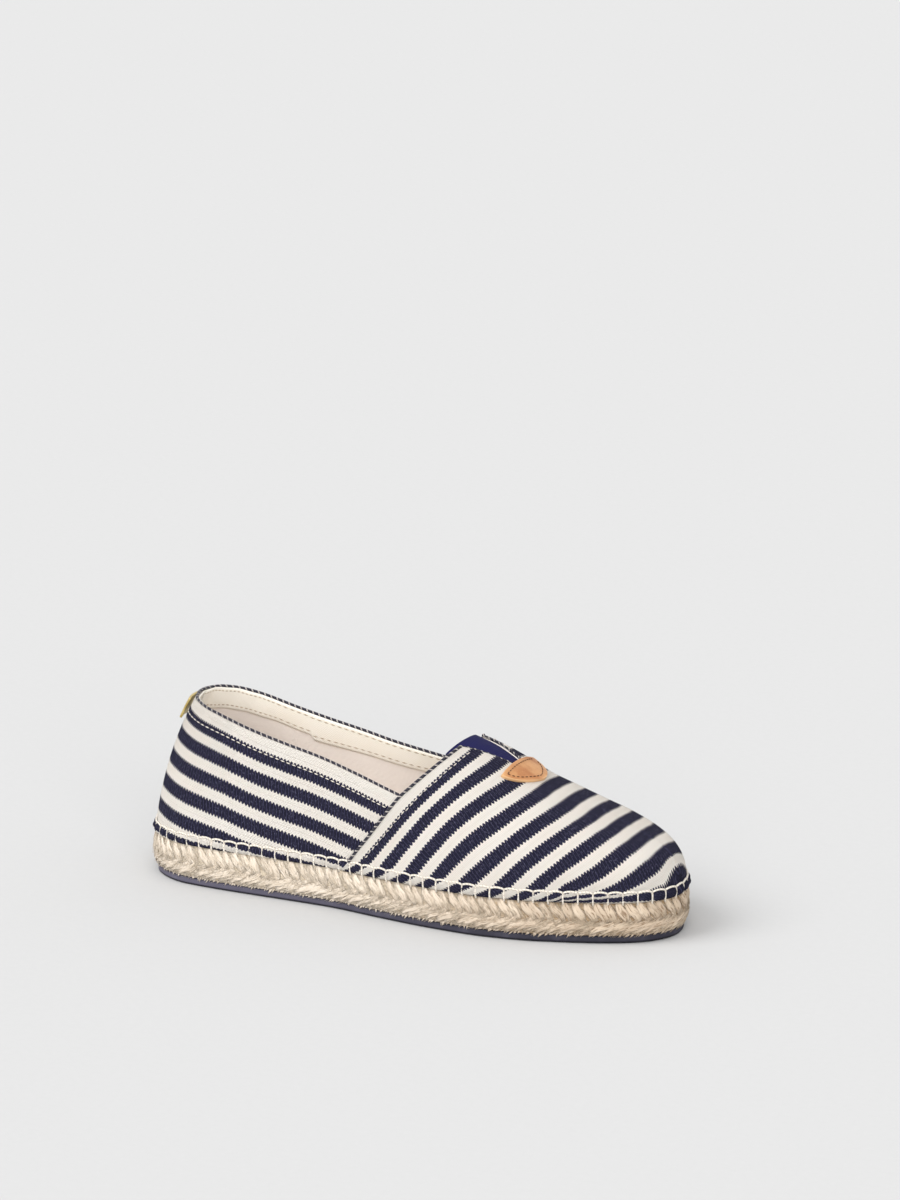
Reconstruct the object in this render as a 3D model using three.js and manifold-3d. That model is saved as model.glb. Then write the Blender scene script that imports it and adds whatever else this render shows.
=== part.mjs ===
// A flat slip-on espadrille, right shoe: striped canvas upper on a jute sole with a thin rubber tread.
// Millimetres. +X runs from heel to toe, +Y is the inner (medial) side, +Z is up, and the floor is Z = 0.
import * as THREE from 'three';
import { mergeVertices } from 'three/addons/utils/BufferGeometryUtils.js';
import Module from 'manifold-3d';

const wasm = await Module();
wasm.setup();

// ---- driving dimensions ------------------------------------------------------------------------
const LENGTH = 250;          // rubber outsole, heel to toe
const RUBBER_TOP = 3.2;      // thickness of the rubber tread
const JUTE_BOTTOM = 3.5;
const JUTE_TOP = 18;
const GAP = 0.3;             // between pieces that touch
const HEM_Z = JUTE_TOP + GAP;        // lower edge of the upper
const HEM_GROW = 0.8;        // how far the hem stands outside the rubber outline
const WALL = 1.8;            // canvas and lining together
const INSOLE_THICK = 3;
const HEEL_CORE_X = 45;      // the heel's ribs fan round this point of the crown line
const TOE_POLE_X = 212;      // and the toe's ribs round this one
const RIBS_PER_SIDE = 48;
const LEVELS = 14;           // rows of facets from hem to crown line

// Half-widths of the rubber outline, at fractions of the length from the heel.
const OUTLINE = [
  { at: 0.00, lateral: 0.0, medial: 0.0 },
  { at: 0.03, lateral: 20.0, medial: 20.0 },
  { at: 0.10, lateral: 29.3, medial: 29.3 },
  { at: 0.18, lateral: 31.0, medial: 31.2 },
  { at: 0.38, lateral: 32.3, medial: 31.0 },
  { at: 0.50, lateral: 36.8, medial: 34.0 },
  { at: 0.60, lateral: 40.0, medial: 39.0 },
  { at: 0.68, lateral: 41.0, medial: 42.5 },
  { at: 0.76, lateral: 38.8, medial: 42.0 },
  { at: 0.85, lateral: 32.3, medial: 38.0 },
  { at: 0.92, lateral: 25.0, medial: 30.5 },
  { at: 0.97, lateral: 16.5, medial: 20.0 },
  { at: 1.00, lateral: 0.0, medial: 0.0 },
];
const widest = (side) => Math.max(...OUTLINE.map((row) => row[side]));
const SIDE_SHIFT = (widest('medial') - widest('lateral')) / 2;

// The last's crown line: height over the floor and roundness of the section that hangs from it.
// Behind the throat the crown is the line that the leaning quarters would reach if they met.
const CROWN = [
  { x: 45, height: 108, roundness: 1.55 },
  { x: 75, height: 96, roundness: 1.7 },
  { x: 105, height: 86, roundness: 1.85 },
  { x: 135, height: 79.5, roundness: 2.0 },
  { x: 151, height: 75.5, roundness: 2.05 },
  { x: 160, height: 72, roundness: 2.1 },
  { x: 169, height: 67.7, roundness: 2.1 },
  { x: 180, height: 62, roundness: 2.1 },
  { x: 190, height: 58, roundness: 2.15 },
  { x: 201, height: 54, roundness: 2.2 },
  { x: 212, height: 50.4, roundness: 2.3 },
];

// The collar's top line from the back of the heel to the corner where it meets the vamp.
const COLLAR = [
  { x: -10, z: 84.5 },
  { x: 17, z: 80.7 },
  { x: 36, z: 76.6 },
  { x: 54, z: 71.8 },
  { x: 71, z: 68.0 },
  { x: 88, z: 64.6 },
  { x: 102, z: 61.3 },
  { x: 116, z: 58.2 },
  { x: 132, z: 54.5 },
];
const COLLAR_CORNER = COLLAR[COLLAR.length - 1];
const VAMP_EDGE_RISE = 1.02;   // height gained per millimetre forward along the vamp's straight edge
const CLEAR_Z = 140;           // above everything
const THROAT_LOW_Z = HEM_Z + 20;   // cutters for the throat reach down to here
const CLEAR_Y = 80;            // further out than either side
const CLEAR_X = 30;            // clear of the heel, behind the collar's first row

// V notch in the throat, its elastic gore and the leather tab over its point.
// The wedge that cuts the notch starts behind its mouth, where it is wider by the flare.
const NOTCH = { mouthX: 149, tipX: 184, tipShift: 3, mouthHalf: 12.8, back: 20, flare: 7 };
const GORE = { margin: 3.6, thick: 1.0, tipX: 189, setBack: 0.4 };
const TAB = { baseX: 172.5, tipX: 185.8, half: 16, fullness: 1.6, roundness: 0.62, thick: 1.3 };
const HEEL_TAG = { half: 9, bottom: 69, top: 78.4, thick: 1.1 };

// Profiles of the layers: height, and growth outside the rubber outline.
const RUBBER_EDGE = [
  { z: 0, grow: -0.6 },
  { z: 0.6, grow: 0 },
  { z: 2.6, grow: 0 },
  { z: RUBBER_TOP, grow: -0.3 },
];
const JUTE_EDGE = [
  { z: JUTE_BOTTOM, grow: 0.3 },
  { z: 5.5, grow: 1.3 },
  { z: 11, grow: 1.8 },
  { z: 16, grow: 1.5 },
  { z: JUTE_TOP, grow: 0.9 },
];
const INSOLE_EDGE = [
  { z: HEM_Z, grow: HEM_GROW - WALL - 0.5 },
  { z: HEM_Z + INSOLE_THICK, grow: HEM_GROW - WALL - 0.9 },
];

// ---- curves through the tables -----------------------------------------------------------------

// A smooth function through a table's rows that never overshoots between them (monotone cubic).
function smooth(rows, key, value) {
  const x = rows.map((row) => row[key]);
  const y = rows.map(value);
  const step = x.slice(1).map((v, i) => v - x[i]);
  const rise = step.map((h, i) => (y[i + 1] - y[i]) / h);
  const slope = y.map((v, i) => {
    if (i === 0) return rise[0];
    if (i === y.length - 1) return rise[i - 1];
    if (rise[i - 1] * rise[i] <= 0) return 0;
    const before = 2 * step[i] + step[i - 1];
    const after = step[i] + 2 * step[i - 1];
    return (before + after) / (before / rise[i - 1] + after / rise[i]);
  });
  return (at) => {
    const v = THREE.MathUtils.clamp(at, x[0], x[x.length - 1]);
    let i = 0;
    while (i < step.length - 1 && v > x[i + 1]) i += 1;
    const t = (v - x[i]) / step[i];
    const s = 1 - t;
    return y[i] * s * s * (1 + 2 * t) + y[i + 1] * t * t * (3 - 2 * t)
      + step[i] * t * s * (slope[i] * s - slope[i + 1] * t);
  };
}

// Squared half-widths run straight into zero at heel and toe, which makes both ends round.
const lateralSquared = smooth(OUTLINE, 'at', (row) => row.lateral ** 2);
const medialSquared = smooth(OUTLINE, 'at', (row) => row.medial ** 2);
const crownHeight = smooth(CROWN, 'x', (row) => row.height);
const crownRoundness = smooth(CROWN, 'x', (row) => row.roundness);
const collarHeight = smooth(COLLAR, 'x', (row) => row.z);

// Where the middle of the foot lies between the two sides.
function middle(x) {
  const at = THREE.MathUtils.clamp(x / LENGTH, 0.004, 0.996);
  return (Math.sqrt(medialSquared(at)) - Math.sqrt(lateralSquared(at))) / 2;
}

// A point of the rubber outline: turn 0 is the heel, half a turn the toe, reached by the medial side.
function onOutline(turn) {
  const at = (1 - Math.cos(turn)) / 2;
  const squared = Math.sin(turn) >= 0 ? medialSquared(at) : lateralSquared(at);
  const side = Math.sin(turn) >= 0 ? 1 : -1;
  return new THREE.Vector2(at * LENGTH, side * Math.sqrt(Math.max(squared, 0)));
}

// The same outline moved outwards by grow.
function plan(turn, grow) {
  const nudge = 1e-3;
  const along = onOutline(turn + nudge).sub(onOutline(turn - nudge)).normalize();
  return onOutline(turn).add(new THREE.Vector2(-along.y, along.x).multiplyScalar(grow));
}

const TOE_SLOPE = (crownHeight(TOE_POLE_X) - crownHeight(TOE_POLE_X - 1));

// A point of the last, at a turn round the outline and a rise from hem (0) to crown line (1).
// inset moves the surface inwards, so that walls and overlays come from this one function.
function onLast(turn, rise, inset) {
  const foot = plan(turn, HEM_GROW - inset);
  const topX = THREE.MathUtils.clamp(foot.x, HEEL_CORE_X, TOE_POLE_X);
  const topY = middle(topX);
  const slope = foot.x > TOE_POLE_X ? TOE_SLOPE : 0;
  const power = 2 / crownRoundness(topX);
  const out = Math.max(Math.cos(rise * Math.PI / 2), 0) ** power;
  const up = Math.sin(rise * Math.PI / 2) ** power;
  const x = topX + (foot.x - topX) * out;
  const crown = crownHeight(topX) - inset + slope * (x - topX) * (1 - out * out);
  return new THREE.Vector3(x, topY + (foot.y - topY) * out, HEM_Z + (crown - HEM_Z) * up);
}

// ---- closed meshes from rings ------------------------------------------------------------------
const RING = 2 * RIBS_PER_SIDE;

// Rings of points, from the lowest up, skinned into a closed mesh. Each ring starts at the heel and
// runs round by the medial side. Both ends are capped rung by rung across the foot.
function skin(rings) {
  const positions = rings.flat().flatMap((p) => [p.x, p.y, p.z]);
  const faces = [];
  const quad = (a, b, c, d) => faces.push(a, b, c, a, c, d);
  for (let level = 0; level < rings.length - 1; level += 1) {
    for (let i = 0; i < RING; i += 1) {
      const low = level * RING;
      const next = (i + 1) % RING;
      quad(low + next, low + i, low + RING + i, low + RING + next);
    }
  }
  const top = (rings.length - 1) * RING;
  for (let i = 0; i < RIBS_PER_SIDE; i += 1) {
    const medial = [i, i + 1];
    const lateral = [(RING - i) % RING, RING - i - 1];
    quad(medial[0], medial[1], lateral[1], lateral[0]);
    quad(top + medial[0], top + lateral[0], top + lateral[1], top + medial[1]);
  }
  const geometry = new THREE.BufferGeometry();
  geometry.setAttribute('position', new THREE.Float32BufferAttribute(positions, 3));
  geometry.setIndex(faces);
  return geometry;
}

function ring(point) {
  return Array.from({ length: RING }, (_, i) => point(2 * Math.PI * i / RING));
}

// A flat layer of the sole, from its edge profile.
function layer(edge) {
  return skin(edge.map(({ z, grow }) => ring((turn) => {
    const p = plan(turn, grow);
    return new THREE.Vector3(p.x, p.y, z);
  })));
}

// The whole last above the hem. skirt lengthens it downwards, for a form that has to cut through.
function last(inset, skirt = 0) {
  const rings = Array.from({ length: LEVELS + 1 }, (_, level) => (
    ring((turn) => onLast(turn, level / LEVELS, inset))));
  if (skirt > 0) rings.unshift(rings[0].map((p) => new THREE.Vector3(p.x, p.y, p.z - skirt)));
  return skin(rings);
}

// ---- solids ------------------------------------------------------------------------------------

// A closed geometry as a solid: doubled points are joined and faces that shrank to a line are dropped.
function solid(geometry) {
  geometry.deleteAttribute('normal');
  geometry.deleteAttribute('uv');
  const joined = mergeVertices(geometry, 1e-4);
  const index = joined.index.array;
  const triVerts = [];
  for (let i = 0; i < index.length; i += 3) {
    const [a, b, c] = index.slice(i, i + 3);
    if (a !== b && b !== c && c !== a) triVerts.push(a, b, c);
  }
  return new wasm.Manifold(new wasm.Mesh({
    numProp: 3,
    vertProperties: new Float32Array(joined.attributes.position.array),
    triVerts: new Uint32Array(triVerts),
  }));
}

function toGeometry(body) {
  const mesh = body.getMesh();
  const geometry = new THREE.BufferGeometry();
  geometry.setAttribute('position', new THREE.Float32BufferAttribute(mesh.vertProperties, 3));
  geometry.setIndex(Array.from(mesh.triVerts));
  geometry.computeVertexNormals();
  return geometry;
}

// A shell between two insets of the last.
function shell(outer, inner) {
  return solid(last(outer)).subtract(solid(last(inner, 2)));
}

// A prism over an outline drawn in plan, as [x, y] corners.
function planPrism(corners, low, high) {
  const outline = new THREE.Shape(corners.map(([x, y]) => new THREE.Vector2(x, y)));
  const prism = new THREE.ExtrudeGeometry(outline, { depth: high - low, bevelEnabled: false });
  return solid(prism.translate(0, 0, low));
}

// Everything above the collar and behind the vamp's straight edge, moved back by the given amount.
function openingCutter(back) {
  const outline = new THREE.Shape();
  const start = COLLAR[0].x;
  const stepsAlong = 24;
  outline.moveTo(start - CLEAR_X, collarHeight(start));
  for (let i = 0; i <= stepsAlong; i += 1) {
    const x = start + (COLLAR_CORNER.x - start) * i / stepsAlong;
    outline.lineTo(x - back, collarHeight(x));
  }
  outline.lineTo(COLLAR_CORNER.x - back + (CLEAR_Z - COLLAR_CORNER.z) / VAMP_EDGE_RISE, CLEAR_Z);
  outline.lineTo(start - CLEAR_X, CLEAR_Z);
  const prism = new THREE.ExtrudeGeometry(outline, { depth: 2 * CLEAR_Y, bevelEnabled: false });
  // Drawn as x and z: turned upright, so that the prism runs across the foot.
  return solid(prism.translate(0, 0, -CLEAR_Y).rotateX(Math.PI / 2));
}

// A wedge that narrows towards the toe, widened all round by margin.
function wedge(margin, tipX) {
  const half = NOTCH.mouthHalf + margin + NOTCH.flare;
  const centre = middle(NOTCH.mouthX);
  return planPrism([
    [NOTCH.mouthX - NOTCH.back, centre - half],
    [tipX, middle(tipX) + NOTCH.tipShift],
    [NOTCH.mouthX - NOTCH.back, centre + half],
  ], THROAT_LOW_Z, CLEAR_Z);
}

function upperBody() {
  return shell(0, WALL).subtract(openingCutter(0)).subtract(wedge(0, NOTCH.tipX));
}

// The elastic that fills the notch, sewn on under the vamp.
function goreBody() {
  const top = WALL + GAP;
  return shell(top, top + GORE.thick)
    .intersect(wedge(GORE.margin, GORE.tipX))
    .subtract(openingCutter(GORE.setBack));
}

// A leather piece over the notch's point: straight behind, and bowed to a blunt tip in front.
function tabBody() {
  const centre = middle(TAB.tipX);
  const sideSteps = 10;
  const side = Array.from({ length: sideSteps + 1 }, (_, i) => {
    const t = Math.sin(Math.PI / 2 * i / sideSteps);
    const half = TAB.half * (1 - t ** TAB.fullness) ** TAB.roundness;
    return [TAB.baseX + (TAB.tipX - TAB.baseX) * t, half];
  });
  const near = side.map(([x, half]) => [x, centre - half]);
  const far = side.slice(0, -1).reverse().map(([x, half]) => [x, centre + half]);
  return shell(-GAP - TAB.thick, -GAP).intersect(planPrism(near.concat(far), THROAT_LOW_Z, CLEAR_Z));
}

// A small plate curved round the back seam.
function heelTagBody() {
  const { half, bottom, top, thick } = HEEL_TAG;
  const outline = [[-CLEAR_X, -half], [HEEL_CORE_X, -half], [HEEL_CORE_X, half], [-CLEAR_X, half]];
  return shell(-GAP - thick, -GAP).intersect(planPrism(outline, bottom, top));
}

// ---- the shoe ----------------------------------------------------------------------------------
const shoe = new THREE.Group();

function add(name, geometry, color, roughness, metalness = 0) {
  const mesh = new THREE.Mesh(geometry, new THREE.MeshStandardMaterial({ color, roughness, metalness }));
  mesh.name = name;
  shoe.add(mesh);
}

add('outsole', layer(RUBBER_EDGE), 0x34353f, 0.8);
add('jute_sole', layer(JUTE_EDGE), 0xd8c7a8, 0.95);
add('insole', layer(INSOLE_EDGE), 0xd9cfc2, 0.9);
add('upper', toGeometry(upperBody()), 0xeee4d6, 0.95);
add('elastic_gore', toGeometry(goreBody()), 0x24244f, 0.85);
add('leather_tab', toGeometry(tabBody()), 0xcb965f, 0.6);
add('heel_tag', toGeometry(heelTagBody()), 0xcdb26a, 0.4, 0.8);

// The box's bottom centre is the origin.
shoe.position.set(-LENGTH / 2, -SIDE_SHIFT, 0);

export default shoe;
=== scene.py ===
"""Looks of a flat slip-on espadrille, right shoe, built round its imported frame.

Sizes are in millimetres unless a name says otherwise. x runs from the back of the rubber tread to the
toe, y from the tread's middle line to the inner (medial) side of the foot, and z up from the floor.
"""

import bisect
import logging
import math
import random
from dataclasses import dataclass, field
from enum import Enum
from typing import Callable, Iterable, Sequence

import bmesh
import bpy
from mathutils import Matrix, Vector


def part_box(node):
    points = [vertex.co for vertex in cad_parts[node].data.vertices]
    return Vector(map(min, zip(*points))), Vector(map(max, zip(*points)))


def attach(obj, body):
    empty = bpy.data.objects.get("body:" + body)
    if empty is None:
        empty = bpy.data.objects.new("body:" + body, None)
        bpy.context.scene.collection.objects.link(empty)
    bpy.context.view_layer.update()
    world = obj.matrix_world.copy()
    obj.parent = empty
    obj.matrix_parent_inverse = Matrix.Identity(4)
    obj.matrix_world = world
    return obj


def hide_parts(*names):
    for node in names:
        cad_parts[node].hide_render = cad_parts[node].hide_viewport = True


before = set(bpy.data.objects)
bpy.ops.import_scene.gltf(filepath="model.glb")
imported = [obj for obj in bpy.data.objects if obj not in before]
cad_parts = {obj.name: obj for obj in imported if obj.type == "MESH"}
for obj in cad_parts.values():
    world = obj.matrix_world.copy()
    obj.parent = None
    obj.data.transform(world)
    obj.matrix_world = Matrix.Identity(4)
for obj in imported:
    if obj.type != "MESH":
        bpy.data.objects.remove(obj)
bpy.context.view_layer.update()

BODY = "root"
MM = 0.001
SEAM_MERGE = 2e-6  # metres: doubled points along a seam are joined
FULL = 1500  # points after which a working mesh is set aside, because a short one is quick to add to
HALVINGS = 34  # steps of a search that halves its range
REPORT = logging.getLogger("espadrille")

Point = tuple[float, float, float]
Mark = tuple[float, float]
Shade = tuple[int, int, int]
Socket = bpy.types.NodeSocket
Value = bpy.types.NodeSocket | float | tuple[float, ...]


class Side(Enum):
    """Which side of the foot a line lies on, as the sign of y."""

    LATERAL = -1
    MEDIAL = 1


# ---- the last --------------------------------------------------------------------------------------


class Curve:
    """A smooth line through a table's rows that never overshoots between them."""

    def __init__(self, rows: Iterable[tuple[float, float]]) -> None:
        """Works out the slope at every row.

        Args:
            rows: pairs of place and value, in rising order of place.
        """
        pairs = list(rows)
        self.x = [x for x, _ in pairs]
        self.y = [y for _, y in pairs]
        self.step = [b - a for a, b in zip(self.x, self.x[1:])]
        rise = [(b - a) / h for a, b, h in zip(self.y, self.y[1:], self.step)]
        self.slope = [rise[0]]
        for i in range(1, len(rise)):
            if rise[i - 1] * rise[i] <= 0:
                self.slope.append(0.0)
                continue
            before = 2 * self.step[i] + self.step[i - 1]
            after = self.step[i] + 2 * self.step[i - 1]
            self.slope.append((before + after) / (before / rise[i - 1] + after / rise[i]))
        self.slope.append(rise[-1])

    def __call__(self, at: float) -> float:
        """The value at a place, held level beyond both ends of the table.

        Args:
            at: the place.

        Returns:
            The value.
        """
        v = min(max(at, self.x[0]), self.x[-1])
        i = min(max(bisect.bisect_left(self.x, v) - 1, 0), len(self.step) - 1)
        t = (v - self.x[i]) / self.step[i]
        s = 1 - t
        ends = self.y[i] * s * s * (1 + 2 * t) + self.y[i + 1] * t * t * (3 - 2 * t)
        return ends + self.step[i] * t * s * (self.slope[i] * s - self.slope[i + 1] * t)


@dataclass(frozen=True)
class Width:
    """Half-widths of the rubber outline at a fraction of the length from the heel."""

    at: float
    lateral: float
    medial: float


@dataclass(frozen=True)
class Crown:
    """Height and roundness of the last's section at a distance from the heel."""

    x: float
    height: float
    roundness: float


@dataclass(frozen=True)
class Rib:
    """One line on the last, from the hem up to the crown line."""

    foot: tuple[float, float]
    outward: tuple[float, float]
    top: tuple[float, float]
    hem: float
    crown: float
    power: float
    slope: float

    def at(self, rise: float, out: float = 0.0) -> Point:
        """A point of the rib.

        Args:
            rise: 0 at the hem and 1 at the crown line.
            out: how far the point stands off the rib's own surface.

        Returns:
            The point in millimetres.
        """
        angle = rise * math.pi / 2
        spread = max(math.cos(angle), 0.0) ** self.power
        up = math.sin(angle) ** self.power
        x = self.top[0] + (self.foot[0] + self.outward[0] * out - self.top[0]) * spread
        y = self.top[1] + (self.foot[1] + self.outward[1] * out - self.top[1]) * spread
        crown = self.crown + out + self.slope * (x - self.top[0]) * (1 - spread**2)
        return (x, y, self.hem + (crown - self.hem) * up)

    def rise_where(self, over: Callable[[Point], float], high: float = 1.0) -> float:
        """The rise below high at which a measure of the point turns from negative to positive.

        Args:
            over: the measure of a point.
            high: the highest rise tried.

        Returns:
            The rise.
        """
        low = 0.0
        for _ in range(HALVINGS):
            mid = (low + high) / 2
            low, high = (low, mid) if over(self.at(mid)) > 0 else (mid, high)
        return (low + high) / 2

    def rise_at_height(self, z: float) -> float:
        """The rise at which the rib reaches a height over the floor."""
        return self.rise_where(lambda p: p[2] - z)

    def girths(self, rises: Sequence[float]) -> list[float]:
        """Distance along the rib from the first of some rises to each of them.

        Args:
            rises: the rises, in order.

        Returns:
            The distances, starting with nought.
        """
        total, out = 0.0, [0.0]
        for a, b in zip(rises, rises[1:]):
            total += math.dist(self.at(a), self.at(b))
            out.append(total)
        return out


class Last:
    """The form that the shoe is made on: its outline, its ribs and the way round its hem."""

    WIDTHS = (
        Width(0.00, 0.0, 0.0),
        Width(0.03, 20.0, 20.0),
        Width(0.10, 29.3, 29.3),
        Width(0.18, 31.0, 31.2),
        Width(0.38, 32.3, 31.0),
        Width(0.50, 36.8, 34.0),
        Width(0.60, 40.0, 39.0),
        Width(0.68, 41.0, 42.5),
        Width(0.76, 38.8, 42.0),
        Width(0.85, 32.3, 38.0),
        Width(0.92, 25.0, 30.5),
        Width(0.97, 16.5, 20.0),
        Width(1.00, 0.0, 0.0),
    )
    CROWNS = (
        Crown(45, 108, 1.55),
        Crown(75, 96, 1.7),
        Crown(105, 86, 1.85),
        Crown(135, 79.5, 2.0),
        Crown(151, 75.5, 2.05),
        Crown(160, 72, 2.1),
        Crown(169, 67.7, 2.1),
        Crown(180, 62, 2.1),
        Crown(190, 58, 2.15),
        Crown(201, 54, 2.2),
        Crown(212, 50.4, 2.3),
    )
    COLLAR = ((-10, 84.5), (17, 80.7), (36, 76.6), (54, 71.8), (71, 68.0), (88, 64.6), (102, 61.3),
              (116, 58.2), (132, 54.5))
    JUTE_EDGE = ((3.5, 0.3), (5.5, 1.3), (11, 1.8), (16, 1.5), (18, 0.9))
    CORNER = (132.0, 54.5)
    VAMP_FOOT = (110.0, 24.6)
    VAMP_RISE = 1.02
    HEM_GROW = 0.8
    HEEL_CORE_X = 45.0
    TOE_POLE_X = 212.0
    LAPS = 1440

    def __init__(self) -> None:
        """Reads the sole's sizes from the frame and measures the way round the hem."""
        tread_low, tread_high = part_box("outsole")
        self.length = (tread_high.x - tread_low.x) / MM
        self.heel = tread_low.x / MM
        self.rubber_top = tread_high.z / MM
        self.jute_bottom, self.jute_top = (corner.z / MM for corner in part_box("jute_sole"))
        self.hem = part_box("upper")[0].z / MM
        self.insole_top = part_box("insole")[1].z / MM
        self.shift = (max(w.medial for w in self.WIDTHS) - max(w.lateral for w in self.WIDTHS)) / 2
        self.lateral = Curve((w.at, w.lateral**2) for w in self.WIDTHS)
        self.medial = Curve((w.at, w.medial**2) for w in self.WIDTHS)
        self.height = Curve((c.x, c.height) for c in self.CROWNS)
        self.roundness = Curve((c.x, c.roundness) for c in self.CROWNS)
        self.collar = Curve(self.COLLAR)
        self.jute = Curve(self.JUTE_EDGE)
        self.toe_slope = self.height(self.TOE_POLE_X) - self.height(self.TOE_POLE_X - 1)
        self.turns = [2 * math.pi * i / self.LAPS for i in range(self.LAPS + 1)]
        points = [self.plan(turn, self.HEM_GROW) for turn in self.turns]
        self.ways = [0.0]
        for a, b in zip(points, points[1:]):
            self.ways.append(self.ways[-1] + math.dist(a, b))
        self.round = self.ways[-1]

    def to_frame(self, p: Point) -> Vector:
        """A point in millimetres from the heel as a point of the frame, in metres."""
        return Vector(((p[0] + self.heel) * MM, (p[1] - self.shift) * MM, p[2] * MM))

    def outline(self, turn: float) -> tuple[float, float]:
        """A point of the rubber outline: turn 0 is the heel, and half a turn on is the toe.

        Args:
            turn: the angle, in radians.

        Returns:
            The point, in plan.
        """
        at = (1 - math.cos(turn)) / 2
        lateral = math.sin(turn) >= 0
        squared = self.lateral(at) if lateral else self.medial(at)
        return (at * self.length, (-1 if lateral else 1) * math.sqrt(max(squared, 0.0)))

    def outward(self, turn: float) -> tuple[float, float]:
        """The direction straight out of the outline, of length 1.

        Args:
            turn: where on the outline.

        Returns:
            The direction, in plan.
        """
        a, b = self.outline(turn - 1e-3), self.outline(turn + 1e-3)
        span = math.dist(a, b)
        return ((b[1] - a[1]) / span, (a[0] - b[0]) / span)

    def plan(self, turn: float, grow: float) -> tuple[float, float]:
        """A point of the outline moved outwards by grow.

        Args:
            turn: where on the outline.
            grow: the distance moved.

        Returns:
            The point, in plan.
        """
        x, y = self.outline(turn)
        out = self.outward(turn)
        return (x + out[0] * grow, y + out[1] * grow)

    def middle(self, x: float) -> float:
        """Where the middle of the foot lies between its two sides."""
        at = min(max(x / self.length, 0.004), 0.996)
        return (math.sqrt(self.medial(at)) - math.sqrt(self.lateral(at))) / 2

    def rib(self, turn: float, inset: float = 0.0) -> Rib:
        """The rib that starts at a turn of the hem, on the last's surface moved inwards by inset.

        Args:
            turn: where on the hem.
            inset: depth under the last's surface.

        Returns:
            The rib.
        """
        out = self.outward(turn)
        foot = self.plan(turn, self.HEM_GROW - inset)
        top_x = min(max(foot[0], self.HEEL_CORE_X), self.TOE_POLE_X)
        slope = self.toe_slope if foot[0] > self.TOE_POLE_X else 0.0
        return Rib(foot, out, (top_x, self.middle(top_x)), self.hem, self.height(top_x) - inset,
                   2 / self.roundness(top_x), slope)

    def turn_at(self, way: float) -> float:
        """The turn at a distance round the hem from the heel.

        Args:
            way: the distance.

        Returns:
            The turn, from nought to a full one.
        """
        way %= self.round
        i = min(max(bisect.bisect_right(self.ways, way) - 1, 0), self.LAPS - 1)
        share = (way - self.ways[i]) / (self.ways[i + 1] - self.ways[i])
        return self.turns[i] + (self.turns[i + 1] - self.turns[i]) * share

    def way_at(self, turn: float) -> float:
        """The distance round the hem from the heel to a turn.

        Args:
            turn: the turn, past a full one if need be.

        Returns:
            The distance.
        """
        lap, rest = divmod(turn, 2 * math.pi)
        place = rest / (2 * math.pi) * self.LAPS
        i = min(int(place), self.LAPS - 1)
        return lap * self.round + self.ways[i] + (self.ways[i + 1] - self.ways[i]) * (place - i)

    def turn_where(self, x: float, side: Side, inset: float = 0.0) -> float:
        """The turn on a side at which the hem is a distance x from the heel.

        Args:
            x: the distance from the heel.
            side: the side of the foot.
            inset: depth under the last's surface.

        Returns:
            The turn.
        """
        low, high = 0.0, math.pi
        sign = 1 if side is Side.LATERAL else -1
        for _ in range(HALVINGS):
            mid = (low + high) / 2
            if self.plan(sign * mid, self.HEM_GROW - inset)[0] < x:
                low = mid
            else:
                high = mid
        return (sign * low) % (2 * math.pi)

    def run(self, start: float, end: float, step: float) -> list[float]:
        """Turns about a step apart from one turn to another, both included.

        Args:
            start: the first turn.
            end: the last turn.
            step: distance along the hem.

        Returns:
            The turns.
        """
        a, b = self.way_at(start), self.way_at(end)
        count = max(2, round(abs(b - a) / step))
        return [self.turn_at(a + (b - a) * i / count) for i in range(count + 1)]

    def paired(self, from_x: float, step: float, inset: float, heel_too: bool = False) -> list[float]:
        """Turns from one side round the toe to the other, whose ribs meet in pairs on the crown line.

        Args:
            from_x: where the run starts and ends, from the heel.
            step: distance between ribs along the hem.
            inset: the surface on which the pairs meet.
            heel_too: goes on round the heel, back to the start.

        Returns:
            The turns, in the order lateral side, toe, medial side.
        """
        pole = self.turn_where(self.TOE_POLE_X, Side.LATERAL, inset)
        other = self.turn_where(self.TOE_POLE_X, Side.MEDIAL, inset)
        lateral = self.run(self.turn_where(from_x, Side.LATERAL, inset), pole, step)
        stations = [self.plan(turn, self.HEM_GROW - inset)[0] for turn in lateral]
        medial = [self.turn_where(x, Side.MEDIAL, inset) for x in reversed(stations)]
        turns = lateral[:-1] + self.run(pole, other, step) + medial[1:]
        if heel_too:
            back = self.run(medial[-1] - 2 * math.pi, lateral[0], step)
            turns += [turn % (2 * math.pi) for turn in back[1:]]
        return turns

    def collar_rise(self, rib: Rib) -> float:
        """Where a rib passes the collar line, or the vamp's straight edge in front of its corner.

        Args:
            rib: the rib.

        Returns:
            The rise.
        """

        def over(p: Point) -> float:
            """Height over the opening's edge."""
            if p[0] <= self.CORNER[0]:
                return p[2] - self.collar(p[0])
            return p[2] - self.CORNER[1] - self.VAMP_RISE * (p[0] - self.CORNER[0])

        return rib.rise_where(over)

    def over(self, x: float, y: float, inset: float) -> Point:
        """The point of the last's upper surface over a place in plan.

        Args:
            x: distance from the heel.
            y: distance across the foot.
            inset: depth under the last's surface.

        Returns:
            The point.
        """
        side = Side.MEDIAL if y > self.middle(x) else Side.LATERAL
        rib = self.rib(self.turn_where(x, side, inset), inset)
        spread = min(max((y - rib.top[1]) / (rib.foot[1] - rib.top[1]), 0.0), 1.0)
        rise = math.acos(spread ** (1 / rib.power)) * 2 / math.pi
        return rib.at(rise)

    def wall(self, way: float, z: float, grow: float) -> Point:
        """A point of the sole's side wall, grow outside the rubber outline."""
        x, y = self.plan(self.turn_at(way), grow)
        return (x, y, z)


# ---- piece by piece --------------------------------------------------------------------------------


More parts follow.
